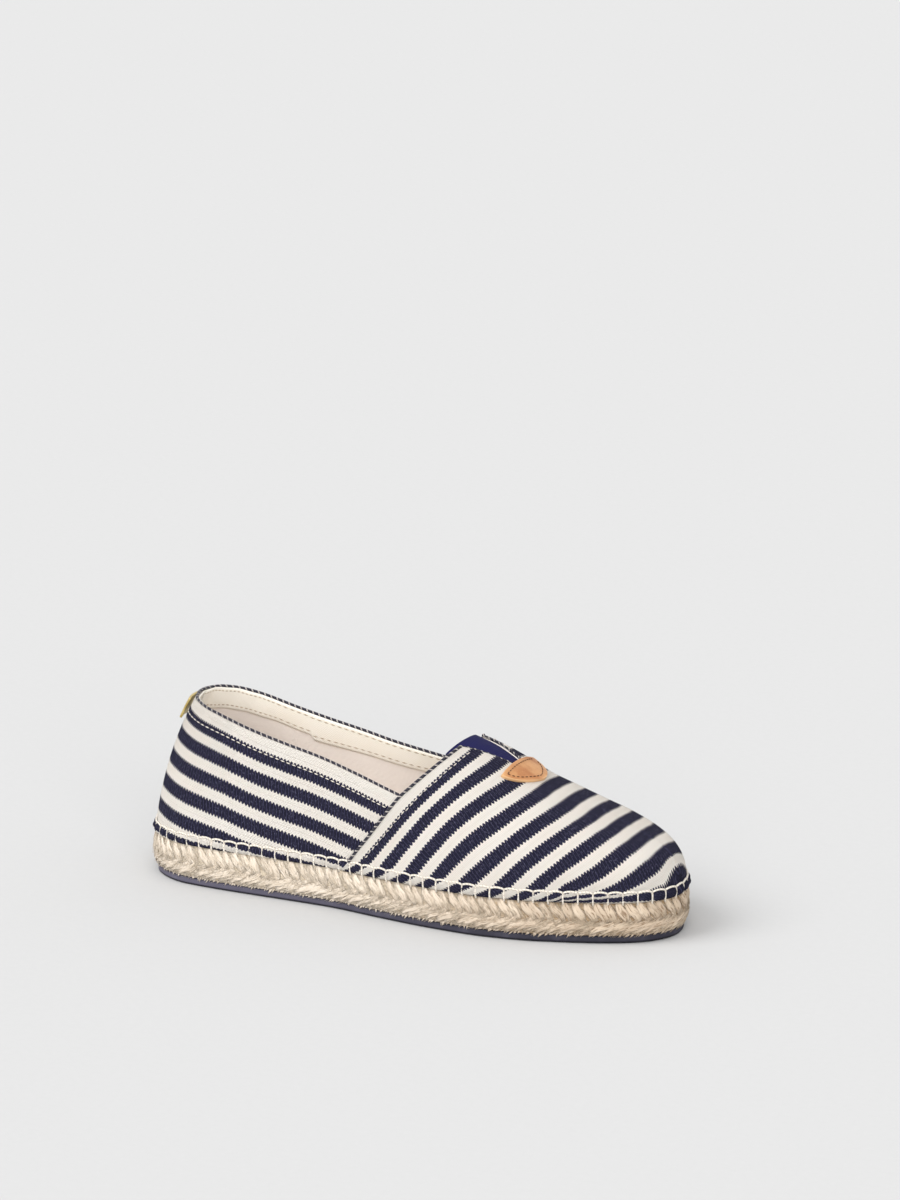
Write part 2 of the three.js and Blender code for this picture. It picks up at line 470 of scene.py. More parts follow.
class Piece:
    """A mesh in the making, with the map that its cloth, fibres or threads follow."""

    def __init__(self, name: str, last: Last) -> None:
        """Starts an empty mesh.

        Args:
            name: the piece's name.
            last: turns millimetres into places of the frame.
        """
        self.name = name
        self.last = last
        self.parts: list[bpy.types.Mesh] = []
        self.start()

    def start(self) -> None:
        """Starts a working mesh with its map and the marks on its points."""
        self.bm = bmesh.new()
        self.map = self.bm.loops.layers.uv.new("cloth")
        self.lean = self.bm.verts.layers.float.new("lean")
        self.tone = self.bm.verts.layers.float.new("tone")

    def set_aside(self) -> None:
        """Keeps the working mesh as a part and starts the next one."""
        self.close()
        part = bpy.data.meshes.new(self.name)
        self.bm.to_mesh(part)
        self.bm.free()
        self.parts.append(part)
        self.start()

    def join_parts(self) -> None:
        """Puts the parts back together, in the order in which they were made."""
        self.set_aside()
        for part in self.parts:
            self.bm.from_mesh(part)
            bpy.data.meshes.remove(part)

    def sheet(self, columns: int, rows: int, place: Callable[[int, int], tuple[Point, Mark]],
              tone: float = 0.5, lean: Callable[[int, int], float] | None = None) -> list[bmesh.types.BMVert]:
        """Lays a grid over a surface.

        Args:
            columns: faces along the grid.
            rows: faces up the grid.
            place: gives the point and its place on the cloth for a column and a row.
            tone: a shade for the whole grid, from 0 to 1.
            lean: how far the cross threads lean at a column and a row.

        Returns:
            The grid's points.
        """
        made = bmesh.ops.create_grid(self.bm, x_segments=columns, y_segments=rows, size=0.5)["verts"]
        marks = {}
        for vert in made:
            column = round((vert.co.x + 0.5) * columns)
            row = round((vert.co.y + 0.5) * rows)
            point, marks[vert] = place(column, row)
            vert.co = self.last.to_frame(point)
            vert[self.tone] = tone
            vert[self.lean] = lean(column, row) if lean else 0.0
        for loop in {loop for vert in made for loop in vert.link_loops}:
            loop[self.map].uv = marks[loop.vert]
        return made

    def tube(self, path: Sequence[Point], radius: float, sides: int = 6, flat: float = 1.0,
             outs: Sequence[Point] | None = None, tone: float = 0.5, taper: float = 0.0) -> None:
        """Lays a round or oval rod along a path, closed at both ends.

        Args:
            path: the rod's middle line.
            radius: half its width.
            sides: faces round it.
            flat: its thickness as a share of its width.
            outs: the direction of its thin side at each point, or None where it doesn't matter.
            tone: a shade for the whole rod, from 0 to 1.
            taper: how much thinner its ends are, as a share of its radius.
        """
        line = [Vector(p) for p in path]
        last = len(line) - 1
        along = [(line[min(i + 1, last)] - line[max(i - 1, 0)]).normalized() for i in range(last + 1)]
        lengths = [0.0]
        for a, b in zip(line, line[1:]):
            lengths.append(lengths[-1] + (b - a).length)
        total = lengths[-1]

        def place(column: int, row: int) -> tuple[Point, Mark]:
            """The rod's skin: a first and a last row close its ends.

            Args:
                column: the station along the piece.
                row: the station across it.

            Returns:
                The point and its place along and round the rod.
            """
            i = min(max(row - 1, 0), last)
            thin = Vector(outs[i]) if outs else Vector((0.31, 0.17, 0.93))
            wide = along[i].cross(thin).normalized()
            thin = wide.cross(along[i])
            swell = 1 - taper * abs(2 * lengths[i] / total - 1) ** 2
            size = 0.0 if row in (0, last + 2) else radius * swell
            angle = 2 * math.pi * column / sides
            p = line[i] + thin * (math.cos(angle) * size * flat) - wide * (math.sin(angle) * size)
            return (tuple(p), (lengths[i], column / sides))

        self.sheet(sides, last + 2, place, tone=tone)
        if len(self.bm.verts) > FULL:
            self.set_aside()

    def close(self) -> None:
        """Joins doubled points along seams and poles."""
        bmesh.ops.remove_doubles(self.bm, verts=self.bm.verts, dist=SEAM_MERGE)
        bmesh.ops.dissolve_degenerate(self.bm, edges=self.bm.edges, dist=SEAM_MERGE / 4)

    def finish(self, finish: "Finish", slot: str, nodes: Sequence[str] = (), thick: float = 0.0,
               solid: bool = False, bevel: float = 0.0) -> bpy.types.Object:
        """Makes the object, gives it its finish and says what it rides on and stands for.

        Args:
            finish: its material.
            slot: the record's material slot, not used.
            nodes: the frame's nodes that it stands for.
            thick: wall given inwards to an open sheet.
            solid: the mesh is closed, so its faces are turned outwards.
            bevel: rounding of the sheet's cut edges.

        Returns:
            The piece.
        """
        if self.parts:
            self.join_parts()
        else:
            self.close()
        if solid:
            bmesh.ops.recalc_face_normals(self.bm, faces=self.bm.faces)
        for face in self.bm.faces:
            face.smooth = True
        mesh = bpy.data.meshes.new(self.name)
        self.bm.to_mesh(mesh)
        self.bm.free()
        made = bpy.data.objects.new(self.name, mesh)
        bpy.context.scene.collection.objects.link(made)
        mesh.materials.append(finish.material())
        if thick:
            wall = made.modifiers.new("wall", "SOLIDIFY")
            wall.thickness = thick * MM
            wall.offset = -1.0
            wall.use_even_offset = True
        if bevel:
            edge = made.modifiers.new("edge", "BEVEL")
            edge.width = bevel * MM
            edge.segments = 2
            edge.limit_method = "ANGLE"
            edge.angle_limit = math.radians(50)
        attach(made, BODY)
        if nodes:
            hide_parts(*nodes)
        REPORT.info("%s: %d faces", self.name, len(mesh.polygons))
        return made


# ---- finishes --------------------------------------------------------------------------------------


def shade(red: int, green: int, blue: int) -> tuple[float, float, float, float]:
    """A colour given as it looks on a screen, from 0 to 255, as the shader's own numbers.

    Args:
        red: the first channel.
        green: the second.
        blue: the third.

    Returns:
        The colour, with full cover.
    """

    def straight(value: float) -> float:
        """One channel without the screen's curve."""
        v = value / 255
        return v / 12.92 if v <= 0.04045 else ((v + 0.055) / 1.055) ** 2.4

    return (straight(red), straight(green), straight(blue), 1.0)


class Graph:
    """A material's nodes, added one after another."""

    def __init__(self, name: str) -> None:
        """Starts a material with its shader and nothing else.

        Args:
            name: the material's name.
        """
        self.material = bpy.data.materials.new(name)
        self.material.use_nodes = True
        self.nodes = self.material.node_tree.nodes
        self.links = self.material.node_tree.links
        self.shader = self.nodes["Principled BSDF"]

    def put(self, value: Value, socket: Socket) -> None:
        """Links a socket to another, or sets a plain value on it.

        Args:
            value: the socket that feeds it, or a plain value.
            socket: the one that takes it.
        """
        if isinstance(value, bpy.types.NodeSocket):
            self.links.new(value, socket)
        else:
            socket.default_value = value

    def math(self, kind: str, a: Value, b: Value = 0.0, c: Value = 0.0) -> Socket:
        """A number worked out from up to three others.

        Args:
            kind: the Math node's operation.
            a: its first value.
            b: its second.
            c: its third.

        Returns:
            The result's socket.
        """
        node = self.nodes.new("ShaderNodeMath")
        node.operation = kind
        for value, socket in zip((a, b, c), node.inputs):
            self.put(value, socket)
        return node.outputs[0]

    def ramp(self, value: Value, low: float, high: float, to_low: float = 0.0,
             to_high: float = 1.0) -> Socket:
        """A soft step from to_low at low to to_high at high.

        Args:
            value: the number that runs.
            low: where the step starts.
            high: where it ends.
            to_low: the result at low.
            to_high: the result at high.

        Returns:
            The result's socket.
        """
        node = self.nodes.new("ShaderNodeMapRange")
        node.interpolation_type = "SMOOTHSTEP"
        for number, socket in zip((value, low, high, to_low, to_high), node.inputs):
            self.put(number, socket)
        return node.outputs[0]

    def mix(self, share: Value, a: Value, b: Value) -> Socket:
        """A colour between two others.

        Args:
            share: how much there is of b.
            a: the first colour.
            b: the second.

        Returns:
            The colour's socket.
        """
        node = self.nodes.new("ShaderNodeMix")
        node.data_type = "RGBA"
        self.put(share, node.inputs[0])
        self.put(a, node.inputs[6])
        self.put(b, node.inputs[7])
        return node.outputs[2]

    def cloth(self) -> tuple[Socket, Socket, Socket]:
        """Distances along and across the piece's own map, and the map as a vector.

        Returns:
            The three sockets.
        """
        node = self.nodes.new("ShaderNodeUVMap")
        node.uv_map = "cloth"
        parts = self.nodes.new("ShaderNodeSeparateXYZ")
        self.links.new(node.outputs[0], parts.inputs[0])
        return parts.outputs[0], parts.outputs[1], node.outputs[0]

    def place(self) -> Socket:
        """Place on the object, in metres."""
        return self.nodes.new("ShaderNodeTexCoord").outputs["Object"]

    def axis(self, vector: Socket, which: int) -> Socket:
        """One part of a vector.

        Args:
            vector: the vector.
            which: 0, 1 or 2.

        Returns:
            The number's socket.
        """
        parts = self.nodes.new("ShaderNodeSeparateXYZ")
        self.links.new(vector, parts.inputs[0])
        return parts.outputs[which]

    def joined(self, a: Value, b: Value, c: Value = 0.0) -> Socket:
        """A vector from three numbers.

        Args:
            a: its x.
            b: its y.
            c: its z.

        Returns:
            The vector's socket.
        """
        node = self.nodes.new("ShaderNodeCombineXYZ")
        for value, socket in zip((a, b, c), node.inputs):
            self.put(value, socket)
        return node.outputs[0]

    def attribute(self, name: str) -> Socket:
        """A number kept on the piece's points.

        Args:
            name: the number's name.

        Returns:
            The number's socket.
        """
        node = self.nodes.new("ShaderNodeAttribute")
        node.attribute_name = name
        return node.outputs["Fac"]

    def noise(self, vector: Socket, scale: float, detail: float = 2.0, rough: float = 0.5) -> Socket:
        """Soft noise from 0 to 1.

        Args:
            vector: where it is read.
            scale: lumps in each unit.
            detail: how many finer layers it has.
            rough: how strong those are.

        Returns:
            The noise's socket.
        """
        node = self.nodes.new("ShaderNodeTexNoise")
        self.put(vector, node.inputs["Vector"])
        node.inputs["Scale"].default_value = scale
        node.inputs["Detail"].default_value = detail
        node.inputs["Roughness"].default_value = rough
        return node.outputs[0]

    def cells(self, vector: Socket, scale: float) -> Socket:
        """Distance to the nearest of many scattered points.

        Args:
            vector: where it is read.
            scale: points in each unit.

        Returns:
            The distance's socket.
        """
        node = self.nodes.new("ShaderNodeTexVoronoi")
        self.put(vector, node.inputs["Vector"])
        node.inputs["Scale"].default_value = scale
        return node.outputs["Distance"]

    def ripple(self, value: Value, pitch: float) -> Socket:
        """Rows of round humps, one for each pitch, from 0 to 1."""
        return self.math("ABSOLUTE", self.math("SINE", self.math("MULTIPLY", value, math.pi / pitch)))

    def bump(self, height: Socket, depth: float, under: Socket | None = None) -> Socket:
        """A normal bent by a height field.

        Args:
            height: the field, from 0 to 1.
            depth: its real depth in millimetres.
            under: a bent normal below it.

        Returns:
            The normal's socket.
        """
        node = self.nodes.new("ShaderNodeBump")
        node.inputs["Strength"].default_value = 1.0
        node.inputs["Distance"].default_value = depth * MM
        self.put(height, node.inputs["Height"])
        if under is not None:
            self.put(under, node.inputs["Normal"])
        return node.outputs[0]

    def dress(self, colour: Value, roughness: Value, normal: Socket | None = None,
              **constants: float) -> bpy.types.Material:
        """Wires the shader and sets its constant sockets by name.

        Args:
            colour: the base colour.
            roughness: how matt it is.
            normal: the bent normal.
            constants: other sockets, by name.

        Returns:
            The material.
        """
        self.put(colour, self.shader.inputs["Base Color"])
        self.put(roughness, self.shader.inputs["Roughness"])
        if normal is not None:
            self.put(normal, self.shader.inputs["Normal"])
        for name, value in constants.items():
            self.shader.inputs[name.replace("_", " ")].default_value = value
        return self.material


@dataclass(frozen=True)
class Finish:
    """A material that is made once and shared by the pieces that wear it."""

    name: str

    def material(self) -> bpy.types.Material:
        """The material, made at its first use."""
        return bpy.data.materials.get(self.name) or self.build()

    def build(self) -> bpy.types.Material:
        """Makes the material's nodes."""
        raise NotImplementedError


@dataclass(frozen=True)
class StripedCanvas(Finish):
    """Cream canvas with woven navy stripes: navy lies round each whole number of the map's second axis."""

    period: float = 10.4
    share: float = 0.49
    rib: float = 1.7
    thread: float = 0.62

    def build(self) -> bpy.types.Material:
        """Makes the stripes with scalloped edges, the weave and its specks, with painted shade in the valleys
        of the weave and of the navy ribs.

        Returns:
            The material.
        """
        g = Graph(self.name)
        u, v, _ = g.cloth()
        away = g.math("SUBTRACT", v, g.math("ROUND", v))
        across = g.math("MULTIPLY", away, self.period)
        along = g.math("SUBTRACT", u, g.math("MULTIPLY", g.attribute("lean"), across))
        flat = g.joined(along, across, g.math("ROUND", v))
        scallop = g.ripple(along, self.rib)
        wander = g.noise(flat, 0.3, 2.0)
        edge = g.math("SUBTRACT", g.math("ABSOLUTE", away), g.math("MULTIPLY", scallop, 0.1))
        edge = g.math("ADD", edge, g.math("MULTIPLY", g.math("SUBTRACT", wander, 0.5), 0.05))
        half = self.share / 2 - 0.036
        woven = g.ramp(edge, half - 0.005, half + 0.005, 1.0, 0.0)
        navy = g.math("MULTIPLY", woven, g.math("GREATER_THAN", v, 0.5))
        plain = self.weave(g, along, across)
        short = g.ripple(g.math("ADD", along, self.rib / 4), self.rib / 2)
        ribbed = g.math("ADD", g.math("MULTIPLY", scallop, 0.4), g.math("MULTIPLY", short, 0.6))
        height = g.math("ADD", g.math("MULTIPLY", navy, ribbed),
                        g.math("MULTIPLY", g.math("SUBTRACT", 1.0, navy), plain))
        flecks = g.noise(g.joined(along, g.math("MULTIPLY", across, 0.6), v), 1.9, 2.0, 0.65)
        specks = g.ramp(flecks, 0.57, 0.68)
        mottle = g.noise(g.place(), 45.0, 3.0)
        # Painted shade in the weave's valleys: the cream is darker where the threads dip and lighter on their
        # tops.
        cream = g.mix(g.math("POWER", plain, 0.7), shade(234, 215, 197), shade(255, 252, 245))
        cream = g.mix(g.ramp(mottle, 0.35, 0.7, 0.0, 0.25), cream, shade(250, 236, 222))
        # Painted shade in the navy's rib valleys, lighter on the rib tops.
        blue = g.mix(g.math("POWER", ribbed, 1.8), shade(9, 9, 17), shade(53, 52, 74))
        blue = g.mix(g.math("MULTIPLY", specks, 0.34), blue, shade(122, 120, 148))
        colour = g.mix(navy, cream, blue)
        fuzz = g.noise(g.place(), 2600.0, 2.0)
        rough = g.ramp(fuzz, 0.2, 0.8, 0.82, 0.96)
        normal = g.bump(fuzz, 0.05, g.bump(height, 0.5))
        return g.dress(colour, rough, normal, Specular_IOR_Level=0.06)

    def weave(self, g: Graph, along: Socket, across: Socket) -> Socket:
        """A plain weave's threads, over and under each other, from 0 to 1.

        Args:
            g: the material's nodes.
            along: distance along the weft.
            across: distance across it.

        Returns:
            The height's socket.
        """
        weft, warp = g.ripple(along, self.thread), g.ripple(across, self.thread)
        crossing = g.math("MULTIPLY", g.math("SINE", g.math("MULTIPLY", along, math.pi / self.thread)),
                          g.math("SINE", g.math("MULTIPLY", across, math.pi / self.thread)))
        over = g.math("GREATER_THAN", crossing, 0.0)
        under = g.math("SUBTRACT", 1.0, over)
        return g.math("ADD", g.math("MULTIPLY", over, weft), g.math("MULTIPLY", under, warp))


@dataclass(frozen=True)
class PlainCloth(Finish):
    """A plain woven cloth in one shade, seen at two scales."""

    # light and dark: the colours of the threads' tops and, as painted shade, of the weave's valleys; also of
    # the slubs and the mottle.
    light: Shade = (232, 224, 212)
    dark: Shade = (196, 185, 170)
    thread: float = 0.7
    depth: float = 0.14
    twill: bool = False

    def build(self) -> bpy.types.Material:
        """Makes the weave, straight or as a twill's slanting ribs.

        Returns:
            The material.
        """
        g = Graph(self.name)
        u, v, flat = g.cloth()
        if self.twill:
            height = g.ripple(g.math("ADD", u, v), self.thread * 1.4)
        else:
            height = g.math("MULTIPLY", g.ripple(u, self.thread), g.ripple(v, self.thread))
        mottle = g.noise(g.place(), 60.0, 4.0)
        slub = g.noise(flat, 0.6, 3.0)
        # Painted shade in the weave's valleys: dark where the threads dip, light on their tops.
        colour = g.mix(height, shade(*self.dark), shade(*self.light))
        colour = g.mix(g.ramp(mottle, 0.35, 0.75, 0.0, 0.3), colour, shade(*self.dark))
        colour = g.mix(g.ramp(slub, 0.55, 0.8, 0.0, 0.3), colour, shade(*self.light))
        rough = g.ramp(mottle, 0.2, 0.8, 0.86, 0.97)
        normal = g.bump(slub, 0.08, g.bump(height, self.depth))
        return g.dress(colour, rough, normal, Sheen_Weight=0.1, Specular_IOR_Level=0.2)


@dataclass(frozen=True)
class Jute(Finish):
    """Twisted jute: fine fibres along each strand, with painted shade between strands; painted light makes it
    paler at the heel, and it is painted darker and tanner towards the toe.
    """

    # heel and toe: the strands' colour at either end; the heel's paler colour is painted light from the heel
    # side, the toe's darker one painted shade.
    heel: Shade = (228, 215, 199)
    toe: Shade = (209, 190, 167)
    # The two gap colours are painted shade between strands: the first at the toe, the second paler at the
    # heel, where painted light falls.
    gap: Shade = (124, 98, 74)
    heel_gap_shade: Shade = (200, 184, 162)
    fibres: float = 15.0
    edge: float = 0.40

    def build(self) -> bpy.types.Material:
        """Makes the fibres from noise drawn out along the strand.

        Returns:
            The material.
        """
        g = Graph(self.name)
        u, v, _ = g.cloth()
        tone = g.attribute("tone")
        drawn = g.joined(g.math("MULTIPLY", u, 0.22), g.math("MULTIPLY", v, self.fibres),
                         g.math("MULTIPLY", tone, 40.0))
        fibre = g.noise(drawn, 1.0, 4.0, 0.65)
        coarse = g.noise(g.joined(g.math("MULTIPLY", u, 0.12), g.math("MULTIPLY", v, self.fibres / 3),
                                  g.math("MULTIPLY", tone, 17.0)), 1.0, 2.0)
        # Painted light: nought at the heel, which is painted paler as if lit from the heel side, rising to
        # one towards the toe, which is painted darker.
        heel_light_falloff = g.ramp(g.axis(g.place(), 0), -0.03, 0.115)
        body = g.mix(heel_light_falloff, shade(*self.heel), shade(*self.toe))
        # deep: painted shade for the gaps between strands, and also the colour of darker fibres and darker
        # strands; paler at the heel under painted light.
        deep = g.mix(heel_light_falloff, shade(*self.heel_gap_shade), shade(*self.gap))
        body = g.mix(g.ramp(tone, 0.0, 1.0, 0.0, 0.25), body, deep)
        colour = g.mix(g.ramp(fibre, 0.36, 0.52, 0.9, 0.0), body, deep)
        # Painted highlight on the raised coarse lumps.
        colour = g.mix(g.ramp(coarse, 0.5, 0.75, 0.0, 0.3), colour, shade(236, 225, 208))
        # Painted shade in the gaps between strands, near the edges of each strand, weaker at the heel where
        # painted light falls.
        side = g.math("ABSOLUTE", g.math("SUBTRACT", g.math("FRACT", g.math("ADD", v, 0.5)), 0.5))
        strand_gap_shade = g.ramp(side, self.edge - 0.08, self.edge + 0.12, 0.0, 0.8)
        colour = g.mix(g.math("MULTIPLY", strand_gap_shade, g.ramp(heel_light_falloff, 0.0, 1.0, 0.12, 1.0)), colour, deep)
        rough = g.ramp(fibre, 0.2, 0.8, 0.95, 0.8)
        normal = g.bump(coarse, 0.35, g.bump(fibre, 0.3))
        return g.dress(colour, rough, normal, Sheen_Weight=0.1, Specular_IOR_Level=0.2)


@dataclass(frozen=True)
class Thread(Finish):
    """Two plies twisted together, in one colour or in two."""

    one: Shade = (243, 236, 225)
    two: Shade = (226, 216, 201)
    pitch: float = 1.6
    split: float = 0.25

    def build(self) -> bpy.types.Material:
        """Makes the plies run round the rod as they run along it.

        Returns:
            The material.
        """
        g = Graph(self.name)
        u, v, flat = g.cloth()
        turn = g.math("FRACT", g.math("ADD", g.math("DIVIDE", u, self.pitch), v))
        ply = g.ramp(g.math("ABSOLUTE", g.math("SUBTRACT", turn, 0.5)), self.split - 0.04, self.split + 0.04)
        groove = g.ripple(turn, 0.5)
        hair = g.noise(flat, 3.0, 3.0)
        colour = g.mix(ply, shade(*self.one), shade(*self.two))
        # Painted shade in the groove between the plies.
        groove_shade = tuple(int(c * 0.55) for c in self.two)
        colour = g.mix(g.ramp(groove, 0.0, 0.5, 0.5, 0.0), colour, shade(*groove_shade))
        rough = g.ramp(hair, 0.2, 0.8, 0.75, 0.92)
        normal = g.bump(hair, 0.06, g.bump(groove, 0.15))
        return g.dress(colour, rough, normal, Sheen_Weight=0.08, Specular_IOR_Level=0.3)


@dataclass(frozen=True)
class Rubber(Finish):
    """Dull dark rubber with dust, painted lighter towards the heel as if lit from the heel side."""

    def build(self) -> bpy.types.Material:
        """Makes the grain, dust and small scuffs, and a painted contact shadow along the bottom.

        Returns:
            The material.
        """
        g = Graph(self.name)
        place = g.place()
        grain = g.noise(place, 1400.0, 3.0, 0.6)
        dust = g.noise(place, 90.0, 4.0, 0.6)
        tall = g.math("MULTIPLY", g.axis(place, 2), 14.0)
        scuff = g.noise(g.joined(g.axis(place, 0), g.axis(place, 1), tall), 160.0, 3.0)
        # Painted light: the rubber is painted lighter at the heel, as if lit from the heel side, and darker
        # towards the toe.
        heel_light_falloff = g.ramp(g.axis(place, 0), -0.11, 0.09)
        colour = g.mix(heel_light_falloff, shade(90, 87, 102), shade(44, 43, 54))
        colour = g.mix(g.ramp(dust, 0.45, 0.8, 0.0, 0.35), colour, shade(112, 109, 124))
        colour = g.mix(g.ramp(scuff, 0.6, 0.75, 0.0, 0.3), colour, shade(32, 32, 42))
        # Painted contact shadow: a dark line along the rubber's bottom edge.
        colour = g.mix(g.ramp(g.axis(place, 2), 0.0005, 0.0013, 0.9, 0.0), colour, shade(20, 19, 27))
        rough = g.ramp(dust, 0.3, 0.7, 0.6, 0.82)
        normal = g.bump(dust, 0.15, g.bump(grain, 0.06))
        return g.dress(colour, rough, normal, Specular_IOR_Level=0.25)


@dataclass(frozen=True)
class Leather(Finish):
    """Smooth tan leather with a paler cut edge."""

    def build(self) -> bpy.types.Material:
        """Makes the grain from small cells, with darker clouds and a worn rim.

        Returns:
            The material.
        """
        g = Graph(self.name)
        _, v, _ = g.cloth()
        place = g.place()
        pores = g.cells(place, 1500.0)
        cloud = g.noise(place, 140.0, 3.0)
        colour = g.mix(g.ramp(cloud, 0.3, 0.72), shade(200, 146, 94), shade(170, 110, 64))
        colour = g.mix(g.ramp(pores, 0.0, 0.35, 0.3, 0.0), colour, shade(140, 88, 50))
        colour = g.mix(g.ramp(v, 0.93, 1.0, 0.0, 0.6), colour, shade(226, 186, 138))
        rough = g.ramp(cloud, 0.3, 0.7, 0.45, 0.6)
        normal = g.bump(pores, 0.06, g.bump(cloud, 0.12))
        return g.dress(colour, rough, normal, Coat_Weight=0.08, Coat_Roughness=0.4)


@dataclass(frozen=True)
class Brass(Finish):
    """Pale brushed brass, a little dull."""

    def build(self) -> bpy.types.Material:
        """Makes the brush lines and finger marks.

        Returns:
            The material.
        """
        g = Graph(self.name)
        place = g.place()
        lines = g.noise(g.joined(g.math("MULTIPLY", g.axis(place, 0), 60.0),
                                 g.math("MULTIPLY", g.axis(place, 1), 60.0),
                                 g.math("MULTIPLY", g.axis(place, 2), 4000.0)), 1.0, 3.0)
        marks = g.noise(place, 220.0, 3.0)
        colour = g.mix(g.ramp(marks, 0.35, 0.7), shade(226, 205, 140), shade(196, 170, 100))
        rough = g.ramp(marks, 0.3, 0.7, 0.26, 0.42)
        return g.dress(colour, rough, g.bump(lines, 0.02), Metallic=0.9)


@dataclass(frozen=True)
class Elastic(Finish):
    """Close navy elastic with ribs along its stretch."""

    def build(self) -> bpy.types.Material:
        """Makes the ribs and the fine cross threads.

        Returns:
            The material.
        """
        g = Graph(self.name)
        u, v, flat = g.cloth()
        ribs = g.ripple(v, 0.9)
        cross = g.ripple(u, 0.5)
        height = g.math("ADD", g.math("MULTIPLY", ribs, 0.8), g.math("MULTIPLY", cross, 0.2))
        cloud = g.noise(flat, 0.4, 3.0)
        # Painted shade in the rib valleys, lighter on the rib tops.
        colour = g.mix(height, shade(12, 12, 42), shade(36, 36, 86))
        colour = g.mix(g.ramp(cloud, 0.5, 0.75, 0.0, 0.2), colour, shade(52, 52, 104))
        rough = g.ramp(cloud, 0.3, 0.7, 0.72, 0.88)
        return g.dress(colour, rough, g.bump(height, 0.15), Specular_IOR_Level=0.15)


@dataclass(frozen=True)
class Paper(Finish):
    """The studio's pale seamless floor."""

    def build(self) -> bpy.types.Material:
        """Makes a plain matt sheet with the faintest tooth.

        Returns:
            The material.
        """
        g = Graph(self.name)
        tooth = g.noise(g.place(), 300.0, 2.0)
        colour = g.mix(tooth, shade(202, 202, 202), shade(205, 205, 205))
        return g.dress(colour, 0.95, None, Specular_IOR_Level=0.0)


CANVAS = StripedCanvas("striped_canvas")
LINING = PlainCloth("lining_cloth", (255, 247, 240), (240, 230, 222), 0.6)
FACING = PlainCloth("facing_twill", (255, 252, 244), (240, 230, 212), 0.7, 0.12, True)
SOCK = PlainCloth("sock_weave", (255, 246, 236), (244, 230, 218), 0.8)
JUTE = Jute("jute_strand")
FUZZ = Jute("jute_fibre", (238, 226, 208), (224, 206, 180), (150, 122, 92), (190, 170, 144), 3.0, 0.6)
# The core's colours are darker than the strands': painted shade in the gaps between strands.
CORE = Jute("jute_core", (226, 212, 190), (184, 156, 122), (118, 90, 62), (186, 168, 142), 20.0, 0.6)
SEWING = Thread("sewing_thread")
FACING_THREAD = Thread("facing_thread", (206, 188, 166), (178, 158, 134), 1.4)
EDGE_CORD = Thread("edge_cord", (22, 22, 40), (206, 198, 192), 3.0, 0.4)
TAB_THREAD = Thread("tab_thread", (84, 54, 36), (112, 76, 48), 1.2)


# ---- sole ------------------------------------------------------------------------------------------


@dataclass
class Outsole:
    """The thin rubber tread: a rounded rim, a recessed floor and rows of low studs."""

    last: Last
    step: float = 2.2
    rim: float = 5.0
    recess: float = 0.7
    stud: float = 2.6
    pitch: float = 8.2

    def build(self) -> None:
        """Makes the tread's edge, floor and studs."""
        piece = Piece("rubber_tread", self.last)
        top = self.last.rubber_top
        profile = ((-self.rim - 0.4, self.recess), (-self.rim, 0.05), (-self.rim + 0.2, 0.0), (-0.8, 0.0),
                   (-0.35, 0.12), (-0.08, 0.45), (0.0, 0.9), (0.05, 1.6), (0.0, top - 0.6),
                   (-0.1, top - 0.2), (-0.4, top), (-2.5, top))
        count = round(self.last.round / self.step)

        def place(column: int, row: int) -> tuple[Point, Mark]:
            """The rim's profile carried round the outline.

            Args:
                column: the station along the piece.
                row: the station across it.

            Returns:
                The point and its place on the cloth.
            """
            grow, z = profile[row]
            way = self.last.round * column / count
            return (self.last.wall(way, z, grow), (way, z))

        piece.sheet(count, len(profile) - 1, place)
        piece.close()
        bmesh.ops.holes_fill(piece.bm, edges=piece.bm.edges, sides=0)
        self.add_studs(piece)
        piece.finish(Rubber("dull_rubber"), "tread_rubber", ["outsole"], solid=True)

    def add_studs(self, piece: Piece) -> None:
        """Scatters six-sided studs in staggered rows inside the rim.

        Args:
            piece: the tread.
        """
        rows = int(self.last.length / self.pitch)
        for row in range(1, rows):
            x = row * self.pitch
            low = -math.sqrt(self.last.lateral(x / self.last.length))
            high = math.sqrt(self.last.medial(x / self.last.length))
            offset = self.pitch / 2 * (row % 2)
            for column in range(-6, 7):
                y = column * self.pitch + offset
                margin = self.rim + self.stud + 1
                if low + margin < y < high - margin and margin < x < self.last.length - margin:
                    self.add_stud(piece, (x, y, self.recess / 2))

    def add_stud(self, piece: Piece, centre: Point) -> None:
        """Adds one stud, narrower where it meets the floor.

        Args:
            piece: the tread.
            centre: the stud's middle.
        """
        made = bmesh.ops.create_cone(piece.bm, cap_ends=True, segments=6, radius1=self.stud * MM,
                                     radius2=(self.stud + 0.5) * MM, depth=self.recess * MM)
        bmesh.ops.translate(piece.bm, verts=made["verts"], vec=piece.last.to_frame(centre))


